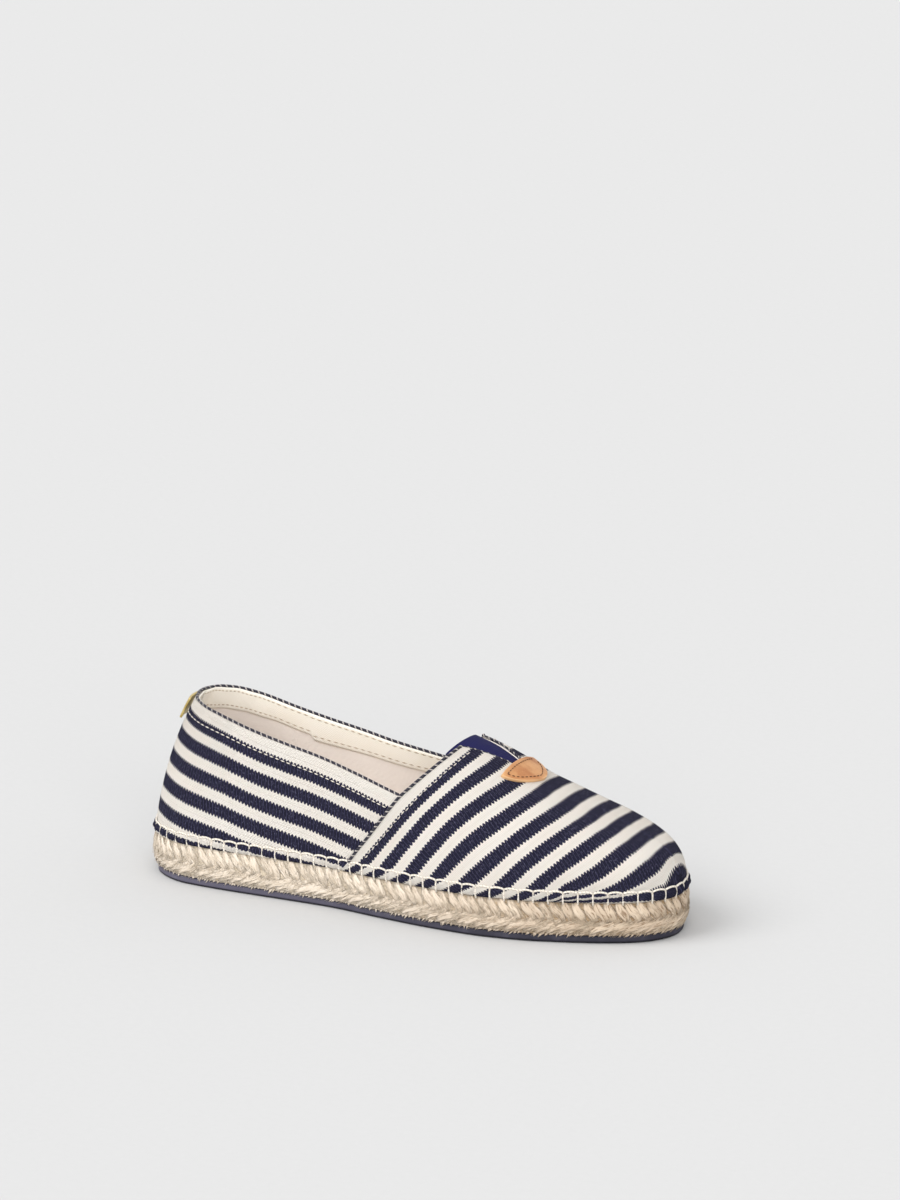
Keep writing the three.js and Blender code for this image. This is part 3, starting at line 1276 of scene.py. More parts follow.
@dataclass
class JuteSole:
    """One flat braid stood on edge: upper strands lean back, lower ones lie long and flat."""

    last: Last
    seed: int = 41
    pitch: float = 4.6
    seam: float = 10.6
    fibres: int = 5600

    def build(self) -> None:
        """Makes the core, both rows of strands, the tufts over the rubber and the loose fibres."""
        self.build_core()
        chance = random.Random(self.seed)
        upper = Piece("braid_upper_strands", self.last)
        lower = Piece("braid_lower_strands", self.last)
        count = round(self.last.round / self.pitch)
        for i in range(count):
            way = self.last.round * i / count
            top, low = self.last.jute_top + 0.2, self.last.jute_bottom + 1.3
            self.add_strand(upper, chance, way, top, self.seam - 0.4, reach=4.6, half=2.0, proud=0.0)
            self.add_strand(lower, chance, way + 2.0, low, self.seam + 0.4, reach=12.0, half=1.5, proud=0.05)
        upper.finish(JUTE, "jute_braid", solid=True)
        lower.finish(JUTE, "jute_braid", solid=True)
        self.build_tufts(chance)
        self.build_fuzz(chance)

    def build_core(self) -> None:
        """Makes the body of jute behind the strands, coloured darker than them as painted shade in the gaps
        between them.
        """
        piece = Piece("jute_core", self.last)
        edge = [(z, grow - 0.55) for z, grow in self.last.JUTE_EDGE]
        edge = [(edge[0][0], edge[0][1] - 6)] + edge + [(edge[-1][0], edge[-1][1] - 6)]
        count = round(self.last.round / 3)

        def place(column: int, row: int) -> tuple[Point, Mark]:
            """The core's profile carried round the outline.

            Args:
                column: the station along the piece.
                row: the station across it.

            Returns:
                The point and its place on the cloth.
            """
            z, grow = edge[row]
            way = self.last.round * column / count
            return (self.last.wall(way, z, grow), (way, z / 12))

        piece.sheet(count, len(edge) - 1, place)
        piece.close()
        bmesh.ops.holes_fill(piece.bm, edges=piece.bm.edges, sides=0)
        piece.finish(CORE, "jute_braid", ["jute_sole"], solid=True)

    def add_strand(self, piece: Piece, chance: random.Random, way: float, start_z: float, end_z: float,
                   reach: float, half: float, proud: float) -> None:
        """Adds one strand, from the braid's edge to its middle line, where it dives under the next.

        Args:
            piece: the row that it belongs to.
            chance: the order of small differences.
            way: where it starts round the sole.
            start_z: height at the braid's edge.
            end_z: height at the middle.
            reach: how far it travels along the sole.
            half: half its width.
            proud: how far it stands out.
        """
        steps = 7
        crisp = 0.45 + 0.55 * min(max((self.last.plan(self.last.turn_at(way), 0)[0] - 130) / 90, 0.0), 1.0)
        way += chance.uniform(-0.7, 0.7)
        reach += chance.uniform(-1.4, 1.4)
        lift = proud + chance.uniform(-0.2, 0.3)
        path, outs = [], []
        for i in range(steps + 1):
            t = i / steps
            z = start_z + (end_z - start_z) * (t + 0.08 * math.sin(2 * math.pi * t))
            arch = math.sin(math.pi * (0.1 + 0.8 * t)) ** 0.6
            stand = -0.6 + (0.55 + lift * crisp) * arch - 0.3 * crisp * t * t
            at = way + reach * t
            path.append(self.last.wall(at, z, self.last.jute(z) + stand))
            out = self.last.outward(self.last.turn_at(at))
            outs.append((out[0], out[1], 0.0))
        piece.tube(path, half + chance.uniform(-0.25, 0.25), sides=8, flat=0.3 * crisp, outs=outs,
                   tone=chance.random(), taper=0.35)

    def build_tufts(self, chance: random.Random) -> None:
        """Makes the short ragged tufts that hang over the rubber's edge.

        Args:
            chance: the order of small differences.
        """
        piece = Piece("jute_tufts", self.last)
        count = round(self.last.round / 1.5)
        for i in range(count):
            way = self.last.round * i / count + chance.uniform(-0.6, 0.6)
            drop = chance.uniform(0.1, 0.9) + (0.7 if chance.random() < 0.2 else 0.0)
            slant = chance.uniform(-3.2, -0.8)
            top = self.last.jute_bottom + chance.uniform(1.2, 2.4)
            low = self.last.jute_bottom - drop
            path = [self.last.wall(way, top, 0.45),
                    self.last.wall(way + slant * 0.5, (top + low) / 2, 0.7),
                    self.last.wall(way + slant, low, 0.12)]
            out = self.last.outward(self.last.turn_at(way))
            piece.tube(path, chance.uniform(0.3, 0.6), sides=5, flat=0.5, outs=[(out[0], out[1], 0.0)] * 3,
                       tone=chance.uniform(0.0, 0.5), taper=0.9)
        piece.finish(JUTE, "jute_braid", solid=True)

    def build_fuzz(self, chance: random.Random) -> None:
        """Makes the fine stray fibres that lie over the braid.

        Args:
            chance: the order of small differences.
        """
        piece = Piece("jute_fuzz", self.last)
        for _ in range(self.fibres):
            way = chance.uniform(0, self.last.round)
            upper = chance.random() < 0.5
            z = chance.uniform(11, 17.6) if upper else chance.uniform(4.2, 10.5)
            lean = math.radians(chance.gauss(-56 if upper else 28, 17))
            length = chance.uniform(3.0, 9.0)
            lift = chance.uniform(0.0, 0.6) * (2.6 if chance.random() < 0.05 else 1.0)
            path = []
            for t in (0.0, 0.35, 0.7, 1.0):
                height = min(max(z + math.sin(lean) * length * (t - 0.5), 2.6), 18.2)
                stand = self.last.jute(height) + 0.1 + lift * t * t
                path.append(self.last.wall(way + math.cos(lean) * length * (t - 0.5), height, stand))
            piece.tube(path, chance.uniform(0.05, 0.1), sides=3, tone=chance.random(), taper=0.6)
        piece.finish(FUZZ, "jute_braid", solid=True)


# ---- upper -----------------------------------------------------------------------------------------


@dataclass(frozen=True)
class Crease:
    """A soft trough, or with a negative depth a ridge, along a line on the upper."""

    start: Point
    end: Point
    depth: float
    width: float

    def inset(self, p: Point) -> float:
        """How far the crease draws a point inwards.

        Args:
            p: the point.

        Returns:
            The distance.
        """
        a, b, at = Vector(self.start), Vector(self.end), Vector(p)
        line = b - a
        share = min(max((at - a).dot(line) / line.length_squared, 0.0), 1.0)
        away = (at - (a + line * share)).length / self.width
        fade = math.sin(math.pi * (0.12 + 0.76 * share))
        return self.depth * fade * math.exp(-away * away)


@dataclass
class Hem:
    """The upper's lower edge, gathered into small bumps between the legs of a blanket stitch."""

    last: Last
    pitch: float = 6.4
    tall: float = 4.5
    swell: float = 1.7
    fullness: float = 0.9

    def __post_init__(self) -> None:
        """Fits a whole number of stitches round the hem."""
        self.count = round(self.last.round / self.pitch)
        self.pitch = self.last.round / self.count

    def slack(self, height: float) -> float:
        """How much more cloth than surface lies between the stitch line and a height over the hem."""
        return max(self.tall - height, 0.0) * self.fullness

    def out(self, way: float, height: float) -> float:
        """How far the gathered cloth stands out at a height over the hem.

        Args:
            way: distance round the hem.
            height: height over the hem.

        Returns:
            The distance.
        """
        if height > self.tall * 1.6:
            return 0.0
        lobe = abs(math.sin(math.pi * way / self.pitch)) ** 0.6
        if height < self.tall:
            rise = math.sin(math.pi * min(max(height / self.tall, 0.0), 1.0)) ** 0.7
            return self.swell * lobe * rise - 0.35 * (1 - lobe)
        fade = (height - self.tall) / (self.tall * 0.6)
        return -0.3 * (1 - fade) * (1 - 0.5 * lobe)


@dataclass(frozen=True)
class Notch:
    """The wedge cut out of the throat: it starts behind its mouth, where it is wider by the flare."""

    mouth: float = 149.0
    tip: float = 184.0
    tip_shift: float = 3.0
    half: float = 12.8
    back: float = 20.0
    flare: float = 7.0

    def ends(self, last: Last, side: Side) -> tuple[tuple[float, float], tuple[float, float]]:
        """Where one edge of the wedge starts and ends, in plan."""
        start = (self.mouth - self.back, last.middle(self.mouth) + side.value * (self.half + self.flare))
        return start, (self.tip, last.middle(self.tip) + self.tip_shift)

    def bounds(self, last: Last, x: float) -> tuple[float, float]:
        """The lateral and the medial limit of the wedge at a distance from the heel.

        Args:
            last: the form.
            x: distance from the heel.

        Returns:
            Both limits, across the foot.
        """
        limits = []
        for side in Side:
            (ax, ay), (bx, by) = self.ends(last, side)
            limits.append(ay + (by - ay) * min((x - ax) / (bx - ax), 1.0))
        return limits[0], limits[1]

    def clear(self, last: Last, p: Point) -> float:
        """How far a point lies outside the wedge, across the foot: negative inside it."""
        low, high = self.bounds(last, p[0])
        return max(low - p[1], p[1] - high)


@dataclass
class VampStripes:
    """Where each navy stripe runs on the vamp: straight over the crown, and back down the sides."""

    last: Last
    starts: tuple[float, ...] = (155.8, 165.2, 175.7, 186.6, 198.5, 210.0, 220.8, 231.6, 242.6)
    tip: tuple[tuple[float, float], ...] = ((4.1, 0.5), (6.8, 1.0), (12, 1.5), (20, 2.3), (40, 4.3))
    drift: tuple[tuple[float, float], ...] = ((0, 0), (10, 0.4), (20, 2.8), (30, 7.2), (40, 13.1), (50, 19.8),
                                              (60, 26.4), (76, 37.5), (90, 48))
    leans: tuple[tuple[float, float], ...] = ((150, 1.13), (166, 1.09), (176, 1.04), (187, 1.0), (221, 1.0),
                                              (232, 1.08), (243, 1.36), (256, 1.7))

    def __post_init__(self) -> None:
        """Makes smooth lines through the tables."""
        rows = [(self.starts[0] - 9 * i, 1.0 - i) for i in range(3, 0, -1)]
        rows += [(x, i + 1.0) for i, x in enumerate(self.starts)]
        end, count = self.starts[-1], float(len(self.starts))
        rows += [(end + ahead, count + more) for ahead, more in self.tip]
        self.index = Curve(rows)
        self.back = Curve(self.drift)
        self.lean = Curve(self.leans)
        rise = [i / 60 for i in range(60, -1, -1)]
        rib = self.last.rib(self.last.turn_where(self.last.TOE_POLE_X - 0.2, Side.LATERAL))
        top = rib.at(1.0)
        self.arc = Curve((math.dist(rib.at(r), top), way) for r, way in zip(rise, rib.girths(rise)))
        self.ridge = self.last.rib(math.pi)

    def toe_girth(self, p: Point) -> float:
        """The distance round the toe from its ridge to a point in front of the pole.

        Args:
            p: the point.

        Returns:
            The distance.
        """
        foot, top = self.ridge.foot, self.ridge.top
        spread = min(max((p[0] - top[0]) / (foot[0] - top[0]), 0.0), 1.0)
        rise = math.acos(spread ** (1 / self.ridge.power)) * 2 / math.pi
        return self.arc(math.dist(self.ridge.at(rise), p))

    def on_ridge(self, x: float, girth: float) -> float:
        """Where the stripe through a point crosses the crown line.

        Args:
            x: the point's distance from the heel.
            girth: its distance down from the crown line.

        Returns:
            Distance from the heel.
        """
        ridge = x
        for _ in range(5):
            ridge = x + self.back(girth) * self.lean(ridge)
        return ridge

    def slant(self, girth: float) -> float:
        """How far a stripe leans from straight down, as a sine."""
        slope = (self.back(girth + 1.5) - self.back(max(girth - 1.5, 0.0))) / 3
        return slope / math.sqrt(1 + slope * slope)


@dataclass
class Upper:
    """The canvas upper: quarters, vamp, lining, facing, edge cords and stitching."""

    last: Last
    step: float = 1.1
    rows: int = 54
    share: float = 0.49
    lap: float = 8.0
    proud: float = 0.45
    canvas: float = 0.9
    hem_thread: float = 0.47
    notch: "Notch" = field(default_factory=lambda: Notch())
    heel_starts: tuple[float, ...] = (5.2, 14.5, 25.3, 36.9, 48.7)
    side_starts: tuple[float, ...] = (6.6, 16.2, 26.8, 37.5, 48.5)
    creases: tuple[Crease, ...] = (
        Crease((14, -24, 34), (62, -33, 27), 0.7, 7.0),
        Crease((70, -33, 34), (104, -34, 27), 0.8, 6.0),
        Crease((30, -28, 52), (88, -30, 42), 0.6, 8.0),
        Crease((112, -35, 30), (128, -36, 44), 0.7, 4.5),
        Crease((150, -38, 32), (168, -32, 52), 0.6, 6.0),
        Crease((196, -26, 44), (214, -6, 51), 0.5, 6.0),
        Crease((206, 22, 44), (222, 2, 48), 0.5, 7.0),
        Crease((14, 24, 36), (60, 32, 28), 0.7, 7.0),
        Crease((72, 32, 44), (112, 33, 32), 0.7, 8.0),
        Crease((150, 38, 34), (168, 33, 52), 0.6, 6.0),
        Crease((2, -8, 40), (2, 10, 38), 0.6, 6.0),
    )
    hem: Hem = field(init=False)
    stripes: VampStripes = field(init=False)

    def __post_init__(self) -> None:
        """Makes the hem's gathers and the stripe plan."""
        self.hem = Hem(self.last)
        self.stripes = VampStripes(self.last)

    def build(self) -> None:
        """Makes every piece of the upper, from the outside in."""
        self.build_quarters()
        self.build_vamp("canvas_vamp", -self.proud, self.canvas, CANVAS, "canvas", gathers=True)
        self.build_lining()
        self.build_vamp("vamp_lining", 0.75, 0.6, LINING, "canvas", gathers=False)
        self.build_facing()
        self.build_edge_cords()
        self.build_topstitch()
        self.build_blanket_stitch()

    def out_at(self, p: Point, way: float, gathers: bool = True) -> float:
        """How far creases and gathers move a point of the upper outwards.

        Args:
            p: the point.
            way: distance round the hem.
            gathers: the layer is gathered at the hem.

        Returns:
            The distance.
        """
        drawn = sum(crease.inset(p) for crease in self.creases)
        low = min(max((p[2] - self.last.hem - 6) / 8, 0.0), 1.0)
        return (self.hem.out(way, p[2] - self.last.hem) if gathers else 0.0) - drawn * low

    # -- quarters --

    def quarter_turns(self, to_x: float, step: float) -> list[float]:
        """Turns from a place on the medial side round the heel to the same place on the lateral side."""
        start = self.last.turn_where(to_x, Side.MEDIAL) - 2 * math.pi
        return self.last.run(start, self.last.turn_where(to_x, Side.LATERAL), step)

    def quarter_index(self, below: float, x: float) -> float:
        """The stripe number at a girth below the collar: navy lies round whole numbers.

        Args:
            below: the girth.
            x: distance from the heel.

        Returns:
            The number, with its fraction.
        """
        heel = min(max((60 - x) / 45, 0.0), 1.0)
        starts = [side + (back - side) * heel for side, back in zip(self.side_starts, self.heel_starts)]
        starts = [starts[0] - 10.0] + starts + [starts[-1] + 11.0, starts[-1] + 22.0]
        i = min(max(bisect.bisect_right(starts, below) - 1, 0), len(starts) - 2)
        index = i + (below - starts[i]) / (starts[i + 1] - starts[i])
        return index - self.share / 2

    def build_quarters(self) -> None:
        """Makes the canvas round the heel, its stripes level with the collar."""
        turns = self.quarter_turns(self.last.CORNER[0] + self.lap, self.step)
        ribs = [self.last.rib(turn) for turn in turns]
        ways = [self.last.way_at(turn) for turn in turns]
        lines = []
        for rib in ribs:
            top = self.last.collar_rise(rib)
            rises = [top * (j / self.rows) ** 1.25 for j in range(self.rows + 1)]
            girths = rib.girths(rises)
            lines.append((rises, [girths[-1] - way for way in girths]))
        piece = Piece("canvas_quarters", self.last)

        def place(column: int, row: int) -> tuple[Point, Mark]:
            """A point of the quarter, from hem to collar.

            Args:
                column: the station along the piece.
                row: the station across it.

            Returns:
                The point and its place on the cloth.
            """
            rises, below = lines[column]
            p = ribs[column].at(rises[row])
            out = self.out_at(p, ways[column])
            girth = below[row] + self.hem.slack(p[2] - self.last.hem)
            return (ribs[column].at(rises[row], out), (ways[column], self.quarter_index(girth, p[0])))

        piece.sheet(len(turns) - 1, self.rows, place)
        piece.finish(CANVAS, "canvas", ["upper"], thick=self.canvas)

    def build_lining(self) -> None:
        """Makes the pale cloth inside the quarters."""
        inset, rows = 1.05, 24
        turns = self.quarter_turns(self.last.CORNER[0] + self.lap, self.step * 2)
        ribs = [self.last.rib(turn, inset) for turn in turns]
        tops = [self.last.collar_rise(rib) for rib in ribs]
        ways = [self.last.way_at(turn) for turn in turns]
        piece = Piece("quarter_lining", self.last)

        def place(column: int, row: int) -> tuple[Point, Mark]:
            """A point of the lining, from hem to just under the collar.

            Args:
                column: the station along the piece.
                row: the station across it.

            Returns:
                The point and its place on the cloth.
            """
            rise = tops[column] * 0.985 * row / rows
            p = ribs[column].at(rise)
            return (ribs[column].at(rise, self.out_at(p, ways[column], False)), (ways[column], p[2]))

        piece.sheet(len(turns) - 1, rows, place)
        piece.finish(LINING, "canvas", thick=0.5)

    # -- vamp --

    def cut_opening(self, piece: Piece, back: float = 0.0) -> None:
        """Cuts a vamp layer along its straight edge and along both sides of the notch.

        Args:
            piece: the layer.
            back: how far behind the canvas's own edge it is cut.
        """
        corner = self.last.to_frame((self.last.CORNER[0] - back, 0, self.last.CORNER[1]))
        foot = self.last.to_frame((self.last.VAMP_FOOT[0] - back, 0, self.last.VAMP_FOOT[1]))
        lower = corner - foot
        upper = Vector((1.0, 0.0, self.last.VAMP_RISE))
        for along in (lower, upper):
            normal = Vector((along.z, 0.0, -along.x)).normalized()
            geometry = piece.bm.verts[:] + piece.bm.edges[:] + piece.bm.faces[:]
            bmesh.ops.bisect_plane(piece.bm, geom=geometry, plane_co=corner, plane_no=normal,
                                   clear_inner=True)
        sides = []
        for side in Side:
            mouth, tip = (self.last.to_frame((x, y, 0.0)) for x, y in self.notch.ends(self.last, side))
            along = tip - mouth
            normal = Vector((-along.y, along.x, 0.0)).normalized() * -side.value
            sides.append((tip, normal))
            geometry = piece.bm.verts[:] + piece.bm.edges[:] + piece.bm.faces[:]
            bmesh.ops.bisect_plane(piece.bm, geom=geometry, plane_co=tip, plane_no=normal)
        inside = [face for face in piece.bm.faces
                  if all((face.calc_center_median() - co).dot(no) > 0 for co, no in sides)
                  and face.calc_center_median().z > (self.last.hem + 20) * MM]
        bmesh.ops.delete(piece.bm, geom=inside, context="FACES")

    def vamp_girths(self, rib: Rib, rises: Sequence[float]) -> list[float]:
        """Distances down a rib from the crown line, or round the toe from its ridge, at rising rises.

        Args:
            rib: the rib.
            rises: the rises.

        Returns:
            The distances, in the rises' order.
        """
        if rib.slope:
            return [self.stripes.toe_girth(rib.at(rise)) for rise in rises]
        down = rib.girths(list(reversed(rises)))
        return list(reversed(down))

    def build_vamp(self, name: str, inset: float, thick: float, finish: Finish, slot: str,
                   gathers: bool) -> None:
        """Makes one layer of the vamp, over the instep and round the toe.

        Args:
            name: the layer's name.
            inset: how deep its outer face lies under the last's surface.
            thick: its thickness.
            finish: its material.
            slot: the record's material slot.
            gathers: the layer is gathered at the hem.
        """
        step = self.step if gathers else self.step * 2
        rows = self.rows if gathers else self.rows // 2
        turns = self.last.paired(self.last.VAMP_FOOT[0] - self.lap, step, inset)
        ribs = [self.last.rib(turn, inset) for turn in turns]
        ways = [self.last.way_at(turn) for turn in turns]
        rises = [(j / rows) ** 1.2 for j in range(rows + 1)]
        girths = [self.vamp_girths(rib, rises) for rib in ribs]
        piece = Piece(name, self.last)

        def place(column: int, row: int) -> tuple[Point, Mark]:
            """A point of the vamp, from hem to crown line.

            Args:
                column: the station along the piece.
                row: the station across it.

            Returns:
                The point and its place on the cloth.
            """
            p = ribs[column].at(rises[row])
            girth = girths[column][row]
            girth += self.hem.slack(p[2] - self.last.hem) if gathers else 0.0
            index = self.stripes.index(self.stripes.on_ridge(p[0], girth))
            side = -1 if p[1] < self.last.middle(p[0]) else 1
            out = self.out_at(p, ways[column], gathers)
            return (ribs[column].at(rises[row], out), (side * girth * 1.12, index - self.share / 2))

        def lean(column: int, row: int) -> float:
            """How far the cross threads lean on either side."""
            side = -1 if ribs[column].foot[1] < 0 else 1
            return side * self.stripes.slant(girths[column][row])

        piece.sheet(len(turns) - 1, rows, place, lean=lean)
        piece.close()
        self.cut_opening(piece)
        piece.finish(finish, slot, thick=thick)

    # -- edges and stitches --

    def collar_line(self, inset: float, below: float, to_x: float, step: float) -> list[tuple[Point, float]]:
        """Points along the collar, with the distance along it.

        Args:
            inset: depth under the last's surface.
            below: girth under the collar's edge.
            to_x: where the line starts and ends.
            step: distance between points.

        Returns:
            Points and distances, from the medial side round the heel to the lateral side.
        """
        line, way, before = [], 0.0, None
        for turn in self.quarter_turns(to_x, step):
            rib = self.last.rib(turn, inset)
            top = self.last.collar_rise(rib)
            low = top
            p = rib.at(top)
            if below:
                edge = rib.at(top)
                low = rib.rise_where(lambda q: below - math.dist(q, edge), top)
                p = rib.at(low, self.out_at(rib.at(low), 0.0, False))
            way += math.dist(p, before) if before else 0.0
            before = p
            line.append((p, way))
        return line

    def facing_width(self, x: float, side: Side) -> float:
        """How deep the facing reaches under the collar: two tapes that meet on the medial side.

        Args:
            x: distance from the heel.
            side: the side of the foot.

        Returns:
            The width.
        """
        if side is Side.MEDIAL and x > 61:
            return 14.0 - 4.5 * min((x - 61) / 70, 1.0)
        return 11.5 if x < 61 else 11.5 - 2.5 * min((x - 61) / 70, 1.0)

    def build_facing(self) -> None:
        """Makes the tape sewn inside the collar, rolled over its edge, and its two rows of stitches."""
        piece = Piece("collar_facing", self.last)
        stitches = Piece("facing_stitches", self.last)
        turns = self.quarter_turns(self.last.CORNER[0] + 1.0, self.step)
        inset, rows = 1.65, 12
        lines = []
        for turn in turns:
            rib = self.last.rib(turn, inset)
            top = self.last.collar_rise(rib)
            edge = rib.at(top)
            side = Side.LATERAL if rib.foot[1] < 0 else Side.MEDIAL
            width = self.facing_width(edge[0], side)
            foot = rib.rise_where(lambda q: width - math.dist(q, edge), top)
            lines.append((rib, foot, top, width, self.last.way_at(turn)))

        def surface(column: int, share: float) -> Point:
            """A point of the tape: share 0 is its lower edge and 1 the collar.

            Args:
                column: the station along the collar.
                share: the place up it.

            Returns:
                The point.
            """
            rib, foot, top, _, way = lines[column]
            rise = foot + (top - foot) * share
            p = rib.at(rise)
            pucker = 0.28 * math.sin(way / 3.1 + 2.4 * share) * math.exp(-((p[0] - 10) / 26) ** 2)
            ease = 0.14 * math.sin(way / 5.3 + 1.7 * math.sin(way / 17))
            puff = 0.45 * math.sin(math.pi * min(share * 1.02, 1.0)) ** 0.8
            return rib.at(rise, self.out_at(p, way, False) - puff * 0.7 + pucker + ease * (1 - share))

        def place(column: int, row: int) -> tuple[Point, Mark]:
            """The tape as a grid."""
            share = row / rows
            return (surface(column, share), (lines[column][4], share * lines[column][3]))

        piece.sheet(len(turns) - 1, rows, place)
        piece.finish(FACING, "canvas", thick=0.55)
        for share in (0.17, 0.86):
            for column in range(0, len(turns) - 3, 3):
                inner = []
                for step in (0, 1, 2):
                    rib = lines[column + step][0]
                    base = Vector(surface(column + step, share))
                    inward = Vector((-rib.outward[0], -rib.outward[1], 0.0))
                    inner.append(tuple(base + inward * (0.62 if step == 1 else 0.45)))
                stitches.tube(inner, 0.3, sides=5, taper=0.4)
        stitches.finish(FACING_THREAD, "canvas", solid=True)

    def build_edge_cords(self) -> None:
        """Makes the twisted cords that bind the collar, the vamp's edge and the notch."""
        piece = Piece("edge_cords", self.last)
        collar = [p for p, _ in self.collar_line(0.5, 0.0, self.last.CORNER[0], 1.6)]
        piece.tube([(x, y, z + 0.2) for x, y, z in collar], 0.68)
        for side in Side:
            piece.tube(self.vamp_edge(side), 0.74)
            piece.tube(self.notch_edge(side), 0.45)
        piece.finish(EDGE_CORD, "canvas", solid=True)

    def vamp_edge(self, side: Side) -> list[Point]:
        """The vamp's straight edge on one side, from the hem up to the notch.

        Args:
            side: the side of the foot.

        Returns:
            The points.
        """
        points = []
        inset = -self.proud - 0.05
        corner, foot = self.last.CORNER, self.last.VAMP_FOOT
        lower = (corner[1] - foot[1]) / (corner[0] - foot[0])
        x = corner[0] - (corner[1] - self.last.hem - 4.8) / lower
        while True:
            z = corner[1] + (x - corner[0]) * (lower if x < corner[0] else self.last.VAMP_RISE)
            rib = self.last.rib(self.last.turn_where(x, side, inset), inset)
            p = rib.at(rib.rise_at_height(z))
            if p[2] < z - 0.3 or self.notch.clear(self.last, p) < 0:
                return points
            points.append(rib.at(rib.rise_at_height(z), self.out_at(p, 0.0, False)))
            x += 0.8

    def notch_edge(self, side: Side) -> list[Point]:
        """One side of the notch, from the vamp's edge to its point.

        Args:
            side: the side of the foot.

        Returns:
            The points.
        """
        mouth, tip = self.notch.ends(self.last, side)
        points = []
        for i in range(61):
            x, y = (a + (b - a) * i / 60 for a, b in zip(mouth, tip))
            p = self.last.over(x, y, -self.proud * 0.3)
            if p[2] <= self.last.CORNER[1] + self.last.VAMP_RISE * (p[0] - self.last.CORNER[0]) + 0.2:
                points.append(p)
        return points

    def stitch_row(self, piece: Piece, line: Sequence[Point], length: float, gap: float,
                   radius: float) -> None:
        """Sews a row of short stitches along a line.

        Args:
            piece: the stitches' piece.
            line: close points along the row.
            length: length of a stitch.
            gap: distance between stitches.
            radius: half the thread's width.
        """
        ways = [0.0]
        for a, b in zip(line, line[1:]):
            ways.append(ways[-1] + math.dist(a, b))

        def at(way: float) -> Point:
            """A point at a distance along the row.

            Args:
                way: the distance.

            Returns:
                The point.
            """
            i = min(max(bisect.bisect_right(ways, way) - 1, 0), len(ways) - 2)
            share = (way - ways[i]) / max(ways[i + 1] - ways[i], 1e-6)
            return tuple(a + (b - a) * share for a, b in zip(line[i], line[i + 1]))

        for i in range(int(ways[-1] / (length + gap))):
            start = i * (length + gap)
            path = [at(start + length * share) for share in (0, 0.5, 1)]
            piece.tube(path, radius, sides=5, taper=0.5)

    def build_topstitch(self) -> None:
        """Sews the rows along the first navy stripe of the quarters and of the vamp."""
        piece = Piece("topstitch", self.last)
        line = [p for p, _ in self.collar_line(-0.22, 7.2, self.last.CORNER[0] - 3, 1.6)]
        self.stitch_row(piece, line, length=1.9, gap=1.0, radius=0.3)
        for side in Side:
            line = self.vamp_seam(side, self.stripes.starts[0] + 0.9)
            self.stitch_row(piece, line, length=1.9, gap=1.0, radius=0.3)
        piece.finish(SEWING, "canvas", solid=True)

    def vamp_seam(self, side: Side, ridge: float) -> list[Point]:
        """A line that follows the stripes of the vamp down one side, from the notch to the hem.

        Args:
            side: the side of the foot.
            ridge: where its stripe meets the crown line.

        Returns:
            The points.
        """
        inset = -self.proud - 0.22
        points = []
        rises = [j / 80 for j in range(81)]
        x = ridge
        while x > self.last.VAMP_FOOT[0] + 4:
            rib = self.last.rib(self.last.turn_where(x, side, inset), inset)
            girths = self.vamp_girths(rib, rises)
            best = min(range(81), key=lambda j: abs(self.stripes.on_ridge(x, girths[j]) - ridge))
            p = rib.at(rises[best])
            if self.notch.clear(self.last, p) > 1.2 and p[2] > self.last.hem + 5.5:
                points.append(rib.at(rises[best], self.out_at(p, 0.0, False)))
            x -= 0.7
        return points

    def build_blanket_stitch(self) -> None:
        """Sews the hem down: a leg at each valley, and an arch over each gather."""
        piece = Piece("blanket_stitch", self.last)
        for i in range(self.hem.count):
            way = i * self.hem.pitch
            on_vamp = self.last.plan(self.last.turn_at(way), 0)[0] > self.last.VAMP_FOOT[0] - 3
            self.add_stitch(piece, way, -self.proud if on_vamp else 0.0)
        piece.finish(SEWING, "canvas", solid=True)

    def add_stitch(self, piece: Piece, way: float, inset: float) -> None:
        """Adds one leg and the arch that leads to the next.

        Args:
            piece: the stitches' piece.
            way: where the leg stands round the hem.
            inset: depth of the cloth under the last's surface.
        """
        tall = self.hem.tall

        def on_cloth(at: float, height: float, lift: float) -> Point:
            """A point on the gathered cloth.

            Args:
                at: distance round the hem.
                height: height over the hem.
                lift: distance off the cloth.

            Returns:
                The point.
            """
            rib = self.last.rib(self.last.turn_at(at), inset)
            rise = rib.rise_at_height(self.last.hem + max(height, 0.0))
            x, y, z = rib.at(rise, self.hem.out(at, height) + lift)
            return (x, y, z + min(height, 0.0))

        lifts = ((-0.9, 0.0), (0.4, 0.35), (2.0, 0.5), (3.4, 0.45), (4.3, 0.3))
        leg = [on_cloth(way, height, lift) for height, lift in lifts]
        piece.tube(leg, self.hem_thread)
        arch = []
        for i in range(7):
            t = i / 6
            height = tall * 0.94 + 0.75 * math.sin(math.pi * t) ** 0.7
            arch.append(on_cloth(way + self.hem.pitch * t, height, 0.42))
        piece.tube(arch, self.hem_thread)


# ---- throat, tag and insole ------------------------------------------------------------------------


